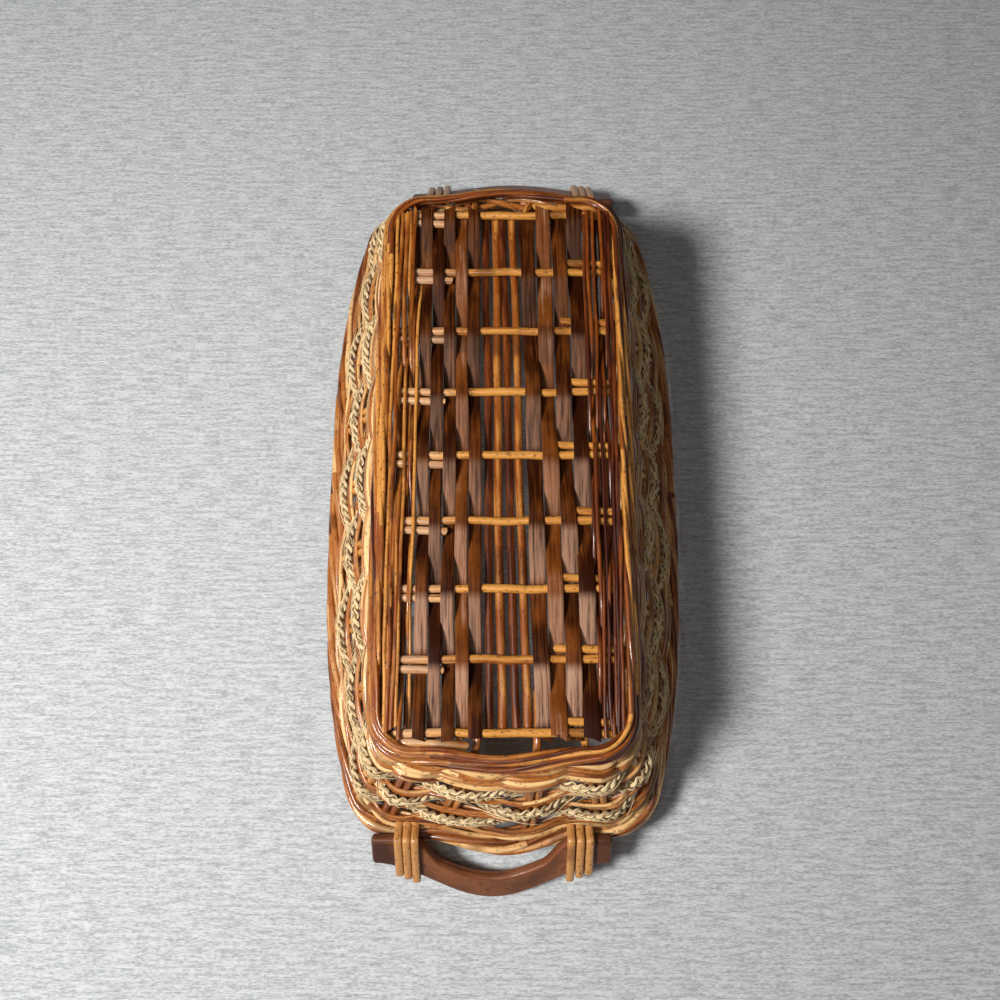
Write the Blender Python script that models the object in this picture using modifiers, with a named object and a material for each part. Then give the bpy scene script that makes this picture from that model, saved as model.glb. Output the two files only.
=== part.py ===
"""A two-bottle wicker basket, turned over and standing on its two wooden handles.

The basket is woven the way a basket maker weaves it: nine cross stakes run over the base and turn up
both long walls, end stakes turn up the short walls, and every stake has a by-stake beside it. Flat
splints and round rods fill the base, and rings of weavers and seagrass braid fill the walls.
Lengths are in metres, +Z is up, +Y is the far end, and the floor is at Z = 0.
"""

import math

import bpy
from mathutils import Matrix, Vector

# Base, measured on the middle surface of its weave
base_width = 0.138
base_length = 0.340
base_corner_radius = 0.018
base_side_bow = 0.001
base_end_bow = 0.005
row_count = 9
row_margin = 0.006
row_spacing = (base_length - 2 * row_margin) / (row_count - 1)

# Rim, measured on the centre line of its border
side_flare = 0.0444
end_flare = 0.049
rim_width = base_width + 2 * side_flare
rim_length = base_length + 2 * end_flare
rim_corner_radius = 0.032
rim_side_bow = 0.0184
rim_end_bow = 0.0095
rim_radius = 0.007
end_bow_share = 0.6
wall_drop = 0.0916

# Rods, splints and strands
stake_radius = 0.0024
pair_pitch = 0.0053
rod_radius = 0.0019
splint_thickness = 0.0016
wale_radius = 0.0028
weaver_radius = 0.0021
braid_width = 0.0092
braid_thickness = 0.0048
lashing_radius = 0.0024
gap = 0.00035
end_clearance = 0.0001
braid_play = 0.0005
lifting_rounds = 4

# Base layout: what fills each lane across the base, from -X to +X
lane_order = (
    "edge edge edge narrow narrow narrow narrow narrow rod rod "
    "rod rod splint splint splint splint edge edge edge"
).split()
lane_edge_margin = 0.004
lane_gap = 0.00056
rod_gap = 0.0026
narrow_share = 0.8
end_stake_shares = (-0.34, -0.107, 0.14, 0.33)
end_stake_rim_shares = (-0.352, -0.195, 0.05, 0.27)
bystake_reach = 0.033
end_stake_reach = 0.034
splint_end_margin = 0.0015
bend_setback = 0.004
side_gather_share = 0.91

# Wall layout: how far down the wall from the base edge the rings of each kind lie
first_wale_place = 0.0038
wale_start = 0.0134
wale_pitch = 0.0064
weaver_start = 0.0257
weaver_pitch = 0.0052
braid_start = 0.0442
upper_weaver_start = 0.0523
braid_pitch = 0.0162

# Handles, drawn in the plane of the board: along it, and from the bow's outer edge towards the wall
handle_half_length = 0.075
handle_thickness = 0.007
handle_lean = math.radians(45)
handle_bar_width = 0.017
handle_bow_depth = 0.031
handle_foot_width = 0.021
handle_foot_start = 0.048
handle_bar_flat = 0.024
handle_rim_place = 0.046
handle_shift = 0.007
lashing_turns = 3
left_lashing_pitch = 0.0053
right_lashing_pitch = 0.0062
lashing_clearance = 0.0004
lashing_arc_steps = 6
bow_steps = 12
foot_steps = 10
lashing_play = 0.0008
board_seat = 0.00078

# Heights that follow from the handles, on whose bows the basket stands
rim_height = (
    handle_rim_place * math.sin(handle_lean) - (rim_radius + board_seat) * math.cos(handle_lean)
)
base_height = rim_height + wall_drop

# Shares that only shape the drawing
stake_foot_share = 0.07
end_stake_foot_share = 0.10
bystake_foot_share = 0.05

colours = {
    "stake": (0.62, 0.30, 0.08),
    "splint": (0.13, 0.05, 0.02),
    "rod": (0.45, 0.19, 0.05),
    "weaver": (0.50, 0.21, 0.05),
    "braid": (0.66, 0.47, 0.22),
    "rim": (0.36, 0.14, 0.04),
    "handle": (0.27, 0.10, 0.04),
    "lashing": (0.60, 0.30, 0.12),
}


def mix(start, end, share):
    return start + (end - start) * share


class Outline:
    """The plan of the base edge or of the rim.

    A quarter of it is a long side that bows outwards, an arc at the corner, and half a short end.
    """

    def __init__(self, width, length, corner_radius, side_bow, end_bow, height):
        self.half_width = width / 2
        self.half_length = length / 2
        self.corner = corner_radius
        self.side_bow = side_bow
        self.end_bow = end_bow
        self.height = height
        self.start_angle = math.atan2(3 * self.side_bow, self.half_length)
        self.corner_x = self.half_width - self.side_bow - self.corner * math.cos(self.start_angle)
        self.corner_y = self.half_length - self.corner
        self.side = self.corner_y + self.corner * math.sin(self.start_angle)
        self.bend = self.corner * (math.pi / 2 - self.start_angle)
        self.quarter = self.side + self.bend + self.corner_x

    def point(self, turn):
        """A point at turn quarter turns from the middle of the +X side, towards +Y."""
        quarter = math.floor(turn)
        along = turn - quarter
        if quarter % 2:
            along = 1 - along
        run = along * self.quarter
        if run < self.side:
            x = self.half_width - self.side_bow * (run / self.side) ** 3
            y = run
        elif run < self.side + self.bend:
            angle = self.start_angle + (run - self.side) / self.corner
            x = self.corner_x + self.corner * math.cos(angle)
            y = self.corner_y + self.corner * math.sin(angle)
        else:
            x = self.quarter - run
            y = self.half_length
        reach = self.corner_x * end_bow_share
        if y >= self.half_length and x < reach:
            y += self.end_bow * math.cos(math.pi / 2 * x / reach) ** 2
        x_sign = 1 if quarter % 4 in (0, 3) else -1
        y_sign = 1 if quarter % 4 in (0, 1) else -1
        return Vector((x * x_sign, y * y_sign, self.height))

    def side_turn(self, y):
        """The share of a quarter turn at which the outline passes a distance y from its middle."""
        if y <= self.side:
            return y / self.quarter
        angle = math.asin((y - self.corner_y) / self.corner)
        return (self.side + (angle - self.start_angle) * self.corner) / self.quarter


base_outline = Outline(
    base_width, base_length, base_corner_radius, base_side_bow, base_end_bow, base_height
)
rim_outline = Outline(
    rim_width, rim_length, rim_corner_radius, rim_side_bow, rim_end_bow, rim_height
)
wall_length = math.hypot(rim_outline.half_length - base_outline.half_length, wall_drop)
rim_share = 1 - (rim_radius + end_clearance + stake_radius) / wall_length


def wall_line(turns, along=0.0):
    """Both ends of a straight line down the wall, given its turns at the base edge and at the rim."""
    base_turn, rim_turn = turns
    top = base_outline.point(base_turn + along / base_outline.quarter)
    foot = rim_outline.point(rim_turn + along / rim_outline.quarter)
    return top, foot


def wall_point(turns, rise, lift=0.0, along=0.0):
    """A point on a line down the wall, lifted outwards off the wall's middle surface."""
    top, foot = wall_line(turns, along)
    behind = wall_line(turns, along - gap)
    ahead = wall_line(turns, along + gap)
    onward = ahead[0].lerp(ahead[1], rise) - behind[0].lerp(behind[1], rise)
    return top.lerp(foot, rise) + (foot - top).cross(onward).normalized() * lift


def material(name, kind, roughness=0.45):
    made = bpy.data.materials.new(name)
    made.use_nodes = True
    shader = made.node_tree.nodes["Principled BSDF"]
    shader.inputs["Base Color"].default_value = (*colours[kind], 1)
    shader.inputs["Roughness"].default_value = roughness
    shader.inputs["Metallic"].default_value = 0
    return made


def add_object(name, data, kind, parent=None):
    made = bpy.data.objects.new(name, data)
    data.materials.append(material(name, kind))
    basket.objects.link(made)
    made.parent = parent
    return made


def add_rod(name, path, radius, kind, closed=False, parent=None):
    """A round rod along a polyline of points, or a ring of it where the path is closed."""
    curve = bpy.data.curves.new(name, "CURVE")
    curve.dimensions = "3D"
    curve.bevel_depth = radius
    curve.bevel_resolution = 1
    curve.use_fill_caps = True
    spline = curve.splines.new("POLY")
    spline.points.add(len(path) - 1)
    for place, point in zip(spline.points, path):
        place.co = (*point, 1)
    spline.use_cyclic_u = closed
    return add_object(name, curve, kind, parent)


def add_band(name, middle, across, width, thickness, kind, closed=False):
    """A flat band: a strip along middle, spread by the across directions, given its thickness."""
    vertices = []
    for point, direction in zip(middle, across):
        half = direction * (width / 2)
        vertices += [point - half, point + half]
    count = len(middle)
    faces = []
    for i in range(count if closed else count - 1):
        j = (i + 1) % count
        faces.append((2 * i, 2 * i + 1, 2 * j + 1, 2 * j))
    mesh = bpy.data.meshes.new(name)
    mesh.from_pydata(vertices, [], faces)
    made = add_object(name, mesh, kind)
    solid = made.modifiers.new("Thickness", "SOLIDIFY")
    solid.thickness = thickness
    solid.offset = 0
    solid.use_even_offset = True
    return made


def rows():
    """The cross stakes' places along the basket, from the far end to the near end."""
    middle = (row_count - 1) / 2
    return [(middle - i) * row_spacing for i in range(row_count)]


def lane_gaps():
    """The gap after each lane but the last: wide on both sides of the rods."""
    return [rod_gap if "rod" in pair else lane_gap for pair in zip(lane_order, lane_order[1:])]


def lane_widths():
    """The width of each kind of lane. The splints share what the rods and the gaps leave, and a
    narrow one gets a fixed share of a wide one's width."""
    widths = {"edge": 2 * rod_radius, "rod": 2 * rod_radius}
    left = base_width - 2 * lane_edge_margin - sum(lane_gaps())
    left -= sum(widths[kind] for kind in lane_order if kind in widths)
    count = lane_order.count("splint") + narrow_share * lane_order.count("narrow")
    widths["splint"] = left / count
    widths["narrow"] = widths["splint"] * narrow_share
    return widths


def lane_places(*kinds):
    """The centres of all lanes of some kinds, from -X to +X, each with its width."""
    widths = lane_widths()
    x = lane_edge_margin - base_width / 2
    places = []
    for found, after in zip(lane_order, lane_gaps() + [0]):
        if found in kinds:
            places.append((x + widths[found] / 2, widths[found]))
        x += widths[found] + after
    return places


def side_turns(y):
    """A cross stake's turns at the base edge and the rim, on the +X side and on the -X side."""
    share = math.copysign(base_outline.side_turn(abs(y)), y)
    rim_turn = share * side_gather_share
    return (share % 4, rim_turn % 4), (2 - share, 2 - rim_turn)


def end_turns(number, end):
    """An end stake's turns by its number, counted from -X, at the near end (-1). The far end (1) is
    the near one turned half round."""
    x = end_stake_shares[number - 1] * base_width
    rim_x = end_stake_rim_shares[number - 1] * rim_width
    return 2 - end + x / base_outline.quarter, 2 - end + rim_x / rim_outline.quarter


def stakes_in_order():
    """The turns of all wall stakes, in order round the basket."""
    stakes = [turns for y in rows() for turns in side_turns(y)]
    numbers = range(1, len(end_stake_shares) + 1)
    stakes += [end_turns(number, end) for number in numbers for end in (1, -1)]
    return sorted(stakes)


def up_the_wall(turns, foot_share, along=0.0):
    """A stake's way from near the base edge to just under the rim border."""
    return [wall_point(turns, share, 0, along) for share in (foot_share, rim_share)]


def make_cross_stakes():
    """Each cross stake is one rod under the base, turned up both long walls and doubled back beside
    itself under the border. The doubled ends are its by-stakes: they come down the wall beside it,
    on its far side at +X and on its near side at -X, and stop a little way in under the base."""
    for number, y in enumerate(rows(), 1):
        right, left = side_turns(y)
        halves = []
        for turns, side in ((right, 1), (left, -1)):
            inner = abs(base_outline.point(turns[0]).x) - bend_setback
            stake = [Vector((side * inner, y, base_height))]
            stake += up_the_wall(turns, stake_foot_share)
            foot = up_the_wall(turns, stake_foot_share, pair_pitch)
            edge = abs(foot[0].x) - bend_setback
            beside = y + side * pair_pitch
            floor = [Vector((side * x, beside, base_height)) for x in (edge, edge - bystake_reach)]
            halves.append(stake + foot[::-1] + floor)
        path = halves[0][::-1] + halves[1]
        add_rod(f"cross_stake_{number}", path, stake_radius, "stake")


def make_end_stakes():
    """An end stake starts inside the splints, turns up the short wall and doubles back beside itself
    under the border, down to the base edge."""
    layer = base_height - weave_lift(splint_thickness / 2) - splint_thickness / 2 - gap - stake_radius
    for end, end_name in ((1, "far"), (-1, "near")):
        for number, share in enumerate(end_stake_shares, 1):
            x = -end * share * base_width
            turns = end_turns(number, end)
            edge = abs(base_outline.point(turns[0]).y) - bend_setback
            path = [Vector((x, end * y, layer)) for y in (edge - end_stake_reach, edge)]
            path += up_the_wall(turns, end_stake_foot_share)
            path += up_the_wall(turns, bystake_foot_share, pair_pitch)[::-1]
            add_rod(f"{end_name}_end_stake_{number}", path, stake_radius, "stake")


def slanted_lift(clear, run):
    """How far a strand stands off the middle surface, so that where it slants across over a run to
    the other side it still clears the rod it has passed by."""
    return clear / math.sqrt(1 - (2 * clear / run) ** 2)


def weave_lift(half_thickness):
    return slanted_lift(stake_radius + half_thickness + gap, row_spacing - 2 * pair_pitch)


def base_weave(places, half_thickness, first_side, end):
    """Heights over and under the rows by turns, for a splint or rod that ends at a given distance."""
    lift = weave_lift(half_thickness)
    side = first_side
    path = []
    for y in places:
        for shift in (pair_pitch, -pair_pitch):
            path.append((max(-end, min(end, y + shift)), base_height + side * lift))
        side = -side
    return path


def make_splints():
    end = base_outline.half_length - splint_end_margin
    across = Vector((1, 0, 0))
    for number, (x, width) in enumerate(lane_places("splint", "narrow"), 1):
        first_side = 1 if number % 2 else -1
        path = base_weave(rows(), splint_thickness / 2, first_side, end)
        middle = [Vector((x, y, z)) for y, z in path]
        name = f"base_splint_{number}"
        add_band(name, middle, [across] * len(middle), width, splint_thickness, "splint")


def make_base_rods():
    """Straight rods down the middle of the base, inside all the cross stakes."""
    layer = base_height - stake_radius - rod_radius - gap
    end = base_outline.half_length - bend_setback - stake_radius
    for number, (x, _) in enumerate(lane_places("rod"), 1):
        path = [Vector((x, y, layer)) for y in (end, -end)]
        add_rod(f"base_rod_{number}", path, rod_radius, "rod")


def make_edge_weavers():
    """Thin rods along each long edge, woven over and under all rows but the first and last."""
    places = rows()[1:-1]
    end = places[0] + pair_pitch + stake_radius
    for number, (x, _) in enumerate(lane_places("edge"), 1):
        path = base_weave(places, rod_radius, (-1) ** number, end)
        add_rod(f"edge_weaver_{number}", [Vector((x, y, z)) for y, z in path], rod_radius, "rod")


def line_gap(one, one_way, other, other_way):
    """The distance between two straight lines, each given by a point and its direction."""
    return abs((other - one).dot(one_way.cross(other_way).normalized()))


def ring(place, half_thickness, first_side, woven=True):
    """The points of a ring round the wall: outside and inside the stake pairs by turns, or outside
    them all. Each stake pair has two points, so that the ring lies along it, and the ring is lifted
    off each pair until its slanting runs on both sides clear the pair as well."""
    rise = place / wall_length
    clear = stake_radius + half_thickness + gap
    stakes = stakes_in_order()
    lifts = [first_side * (-1) ** i * clear if woven else clear for i in range(len(stakes))]
    for _ in range(lifting_rounds):
        points = [
            wall_point(turns, rise, lift, along)
            for turns, lift in zip(stakes, lifts)
            for along in (0.0, pair_pitch)
        ]
        for i, turns in enumerate(stakes):
            before, first, second = points[2 * i - 1 : 2 * i + 2] if i else [points[-1]] + points[:2]
            after = points[(2 * i + 2) % len(points)]
            room = clear
            for along, strand, way in (
                (0.0, first, first - before),
                (pair_pitch, second, after - second),
            ):
                top, foot = wall_line(turns, along)
                room = min(room, line_gap(top, foot - top, strand, way))
            lifts[i] += math.copysign(clear - room, lifts[i])
    return points


def wall_slopes():
    """The direction down the wall at each point of a ring."""
    directions = []
    for turns in stakes_in_order():
        for along in (0.0, pair_pitch):
            top, foot = wall_line(turns, along)
            directions.append((foot - top).normalized())
    return directions


def make_wall_rings():
    """Each ring passes the stakes on the other side to the ring before it. The first lies outside."""
    wale_places = [first_wale_place, wale_start, wale_start + wale_pitch]
    for number, place in enumerate(wale_places, 1):
        woven = number > 1
        points = ring(place, wale_radius, (-1) ** number, woven)
        add_rod(f"upset_wale_{number}", points, wale_radius, "weaver", True)
    weaver_places = [weaver_start + i * weaver_pitch for i in range(3)]
    weaver_places += [upper_weaver_start + i * braid_pitch for i in range(3)]
    for number, place in enumerate(weaver_places, 1):
        points = ring(place, weaver_radius, (-1) ** number)
        add_rod(f"weaver_{number}", points, weaver_radius, "weaver", True)
    slopes = wall_slopes()
    for number in (1, 2, 3):
        place = braid_start + (number - 1) * braid_pitch
        middle = ring(place, braid_thickness / 2 + braid_play, (-1) ** number)
        name = f"braid_{number}"
        add_band(name, middle, slopes, braid_width, braid_thickness, "braid", closed=True)


def make_rim():
    """The border is a thick round ring along the rim's centre line."""
    turns = [rim_turn for base_turn, rim_turn in stakes_in_order()]
    points = []
    for i, turn in enumerate(turns):
        step = (turns[(i + 1) % len(turns)] - turn) % 4
        points += [rim_outline.point(turn), rim_outline.point(turn + step / 2)]
    made = add_rod("rim_border", points, rim_radius, "rim", True)
    made.data.bevel_resolution = 2


def handle_frame(end):
    """The hinge line's middle under one end of the rim, and the turn that brings drawn handles there.

    Drawn handles lie in the XY plane, +Y towards the bow, with the rim's centre line on the X axis
    and below them: the turn leans the board outwards and down.
    """
    place = Vector((end * handle_shift, end * rim_outline.half_length, rim_height))
    lean = Matrix.Rotation(-handle_lean, 4, "X")
    facing = Matrix.Rotation(0 if end > 0 else math.pi, 4, "Z")
    return Matrix.Translation(place) @ facing @ lean


def smooth_step(share):
    share = max(0.0, min(1.0, share))
    return share * share * (3 - 2 * share)


def bow_place(x):
    """How far the bow's outer edge lies from the rim's centre line."""
    return handle_rim_place - handle_bow_depth * math.sin(math.pi / 2 * x / handle_half_length) ** 2


def handle_outline():
    """The board's edge: a bow on the outside, and a bar between two feet on the inside."""
    xs = [handle_half_length * (2 * i / bow_steps - 1) for i in range(bow_steps + 1)]
    outer = [(x, bow_place(x)) for x in xs]
    foot_edge = handle_rim_place - handle_bow_depth - handle_foot_width
    bar_edge = handle_rim_place - handle_bar_width
    rise_length = handle_foot_start - handle_bar_flat
    right = []
    for i in range(foot_steps + 1):
        share = i / foot_steps
        x = handle_bar_flat + rise_length * share
        right.append((x, mix(bar_edge, foot_edge, smooth_step(share))))
    left = [(-x, y) for x, y in right[::-1]]
    ends = [(handle_half_length, foot_edge), (-handle_half_length, foot_edge)]
    return outer + [ends[0]] + right[::-1] + left[::-1] + [ends[1]]


def make_handle(name, pivot):
    """The board: its outline as a flat curve, as thick as the wood, seated on the rim border."""
    curve = bpy.data.curves.new(name, "CURVE")
    curve.dimensions = "2D"
    curve.fill_mode = "BOTH"
    curve.extrude = handle_thickness / 2
    outline = handle_outline()
    spline = curve.splines.new("POLY")
    spline.points.add(len(outline) - 1)
    for place, (x, y) in zip(spline.points, outline):
        place.co = (x, y, 0, 1)
    spline.use_cyclic_u = True
    made = add_object(name, curve, "handle", pivot)
    made.location = (0, 0, rim_radius + board_seat + handle_thickness / 2)
    return made


def lashing_places(stake_number, side, pitch):
    """The turns of one lashing at the near end. They start on the +X side (1) or the -X side (-1) of
    an end stake and its by-stake, clear of them as high up the wall as the cane reaches."""
    reach = rim_radius + 2 * lashing_radius + gap + lashing_play
    turns = end_turns(stake_number, -1)
    along = pair_pitch if side > 0 else 0.0
    start = wall_point(turns, 1 - reach / wall_length, 0, along).x
    start += side * (stake_radius + lashing_radius + lashing_clearance)
    return sorted(start + side * i * pitch for i in range(lashing_turns))


def lashing_path(xs):
    """A cane wound round the rim border and the board's foot, one turn at each x.

    Each turn crosses the board's face in the plane at its x, round the board's corners, and then
    follows a circle round the border, on which it steps over to the next turn.
    """
    stand_off = lashing_radius + gap
    foot_edge = handle_rim_place - handle_bow_depth - handle_foot_width - stand_off
    bottom = rim_radius + board_seat
    top = bottom + handle_thickness + stand_off
    chamfer = stand_off / 2
    step = math.pi / lashing_arc_steps
    circle = (rim_radius + stand_off + lashing_play) / math.cos(step / 2)
    points = [Vector((xs[0], -circle, 0))]
    for x, next_x in zip(xs, xs[1:] + xs[-1:]):
        bow_edge = bow_place(max(0.0, abs(x) - 2 * lashing_radius)) + stand_off
        points += [
            Vector((x, foot_edge, bottom)),
            Vector((x, foot_edge, top - chamfer)),
            Vector((x, foot_edge + chamfer, top)),
            Vector((x, bow_edge - chamfer, top)),
            Vector((x, bow_edge, top - chamfer)),
            Vector((x, bow_edge, bottom)),
        ]
        for i in range(lashing_arc_steps + 1):
            angle = i * step
            across = mix(x, next_x, i / lashing_arc_steps)
            points.append(Vector((across, circle * math.cos(angle), -circle * math.sin(angle))))
    return points[:-lashing_arc_steps]


def least_self_gap(path, radius):
    """The least gap between a wound cane and its own other turns, measured on points along it."""
    points = []
    run = 0.0
    for start, end in zip(path, path[1:]):
        length = (end - start).length
        steps = math.ceil(length / radius)
        points += [(start.lerp(end, i / steps), run + length * i / steps) for i in range(steps)]
        run += length
    apart = math.pi * rim_radius
    gaps = [
        (one - other).length - 2 * radius
        for i, (one, one_run) in enumerate(points)
        for other, other_run in points[i + 1 :]
        if other_run - one_run > apart
    ]
    return min(gaps)


def make_handles():
    """The far handle and its lashings are the near ones turned half round."""
    left, right = lashing_places(1, 1, left_lashing_pitch), lashing_places(4, -1, right_lashing_pitch)
    for end, end_name in ((1, "far"), (-1, "near")):
        pivot = bpy.data.objects.new(f"{end_name}_handle_pivot", None)
        basket.objects.link(pivot)
        pivot.matrix_world = handle_frame(end)
        make_handle(f"{end_name}_handle", pivot)
        for xs in (left, right):
            drawn = [-x - handle_shift for x in xs]
            side = "left" if drawn[0] * end < 0 else "right"
            name = f"{end_name}_{side}_lashing"
            path = lashing_path(drawn)
            add_rod(name, path, lashing_radius, "lashing", False, pivot)
            print(name, "least gap to itself:", round(least_self_gap(path, lashing_radius) / gap, 2), "gaps")


for old in list(bpy.data.objects):
    bpy.data.objects.remove(old)
basket = bpy.data.collections.new("wine_bottle_basket")
bpy.context.scene.collection.children.link(basket)
make_cross_stakes()
make_end_stakes()
make_splints()
make_base_rods()
make_edge_weavers()
make_wall_rings()
make_rim()
make_handles()
bpy.context.view_layer.update()
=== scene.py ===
"""Dresses a packed two-bottle wicker basket in varnished canes, dark splints, seagrass braids and
wooden handles.

The basket lies turned over, its base up, on the bows of its handles. Lengths are in metres and +Z
is up.
"""

import math

import bpy
import numpy as np
from bpy.props import FloatProperty, FloatVectorProperty, IntProperty, PointerProperty
from bpy.types import Operator, Panel, PropertyGroup
from mathutils import Euler, Matrix, Vector


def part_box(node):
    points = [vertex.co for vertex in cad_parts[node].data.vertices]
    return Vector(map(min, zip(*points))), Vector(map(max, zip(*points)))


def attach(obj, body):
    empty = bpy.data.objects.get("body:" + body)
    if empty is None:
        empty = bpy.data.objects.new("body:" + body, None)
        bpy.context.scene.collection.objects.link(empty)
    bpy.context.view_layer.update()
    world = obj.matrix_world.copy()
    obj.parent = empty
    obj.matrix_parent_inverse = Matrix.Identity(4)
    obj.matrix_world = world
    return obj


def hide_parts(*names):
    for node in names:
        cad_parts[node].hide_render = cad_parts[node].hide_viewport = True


bl_info = {
    "name": "Wine Bottle Basket",
    "version": (1, 0, 0),
    "blender": (4, 5, 0),
    "location": "View3D > Sidebar > Wicker",
    "description": "Weaves the fine surface of a two-bottle wicker basket over its plain solids",
    "category": "Object",
}

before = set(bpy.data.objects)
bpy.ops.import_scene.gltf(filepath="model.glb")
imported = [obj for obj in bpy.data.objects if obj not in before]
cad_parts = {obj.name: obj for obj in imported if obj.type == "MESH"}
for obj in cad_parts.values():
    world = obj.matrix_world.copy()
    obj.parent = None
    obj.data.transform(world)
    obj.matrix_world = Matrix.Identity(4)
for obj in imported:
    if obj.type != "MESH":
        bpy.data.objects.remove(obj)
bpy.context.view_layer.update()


def length(name, default, description):
    return FloatProperty(
        name=name, description=description, default=default, min=0, unit="LENGTH", precision=5
    )


def share(name, default, description):
    return FloatProperty(name=name, description=description, default=default, subtype="FACTOR")


def colour(name, default, description):
    return FloatVectorProperty(
        name=name, description=description, default=default, subtype="COLOR", min=0, max=1
    )


class WickerSizes(PropertyGroup):
    """The basket's sizes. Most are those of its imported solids, and strands, braids, splints and the
    handles' edges have sizes of their own."""

    base_width: length("Base width", 0.138, "Middle surface of the base, across")
    base_length: length("Base length", 0.340, "Middle surface of the base, along")
    base_corner: length("Base corner", 0.018, "Corner radius of the base")
    base_side_bow: length("Base side bow", 0.001, "How far its long sides draw in at the corners")
    base_end_bow: length("Base end bow", 0.005, "How far the base's short ends bow outwards")
    side_flare: length("Side flare", 0.0444, "How far the long walls lean out")
    end_flare: length("End flare", 0.049, "How far the short walls lean out")
    rim_corner: length("Rim corner", 0.032, "Corner radius of the rim")
    rim_side_bow: length("Rim side bow", 0.0184, "How far its long sides draw in at the corners")
    rim_end_bow: length("Rim end bow", 0.0095, "How far the rim's short ends bow outwards")
    rim_radius: length("Border radius", 0.007, "Radius of the rim's border")
    wall_drop: length("Wall drop", 0.0916, "Height from the rim's centre line to the base")
    row_margin: length("Row margin", 0.006, "From the base's ends to the outermost cross stakes")
    stake_radius: length("Stake radius", 0.0024, "Radius of a stake")
    pair_pitch: length("Pair pitch", 0.0053, "Between a stake and the by-stake beside it")
    rod_radius: length("Rod radius", 0.0019, "Radius of the thin rods of the base")
    splint_width: length("Splint width", 0.008965, "Width of a wide dark splint")
    narrow_share: share("Narrow splint", 0.8, "A narrow splint's share of a wide one's width")
    splint_thickness: length("Splint thickness", 0.0013, "Thickness of a dark splint")
    wale_radius: length("Wale radius", 0.0020, "Radius of the strands of the upsetting")
    weaver_radius: length("Weaver radius", 0.00135, "Radius of one strand of a wall weaver")
    braid_width: length("Braid width", 0.0098, "Width of a seagrass braid")
    braid_thickness: length("Braid thickness", 0.0050, "Thickness of a seagrass braid")
    lane_margin: length("Lane margin", 0.004, "From the base's edge to its outermost weaver")
    lane_gap: length("Lane gap", 0.00056, "Between neighbours across the base")
    lane_slant: length("Lane slant", 0.003, "How far the middle lanes drift over half the base")
    rod_gap: length("Rod gap", 0.0026, "Gap beside an inner rod")
    bend_setback: length("Bend setback", 0.004, "From the base's edge to a stake's bend")
    bystake_reach: length("By-stake reach", 0.033, "How far a by-stake reaches in over the base")
    end_stake_reach: length("End stake reach", 0.034, "How far an end stake reaches in")
    bend_radius: length("Bend radius", 0.007, "How softly a cane turns a corner")
    handle_half_length: length("Handle half length", 0.075, "Half the length of a handle")
    handle_thickness: length("Handle thickness", 0.007, "Thickness of a handle's board")
    handle_bar_width: length("Bar width", 0.0182, "Width of the grip at its middle")
    handle_bow_depth: length("Bow depth", 0.031, "How far the bow stands out past its ends")
    handle_foot_width: length("Foot width", 0.021, "Width of a handle's feet")
    handle_foot_start: length("Foot start", 0.052, "From the handle's middle to its feet")
    handle_bar_flat: length("Bar reach", 0.032, "Half the stretch where the grip keeps its width")
    handle_rim_place: length("Handle place", 0.046, "From the rim's line to the bow's outer edge")
    handle_shift: length("Handle shift", 0.007, "How far a handle sits left of its end's middle")
    handle_seat: length("Handle seat", 0.00078, "Between the rim's border and the board")
    lashing_width: length("Lashing width", 0.0051, "Width of the half-round lashing cane")
    lashing_thickness: length("Lashing thickness", 0.0036, "Thickness of the lashing cane")
    handle_lean: FloatProperty(
        name="Handle lean",
        description="How far a handle leans down from level",
        default=math.radians(45),
        subtype="ANGLE",
    )
    row_count: IntProperty(name="Rows", description="Number of cross stakes", default=9, min=3)
    side_gather: share("Side gather", 0.91, "How much the side stakes draw together down the wall")
    base_bowed: share("Base bowed share", 1.0, "Share of the base's short end that bows outwards")
    rim_bowed: share("Rim bowed share", 0.8, "Share of the rim's short end that bows outwards")


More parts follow.
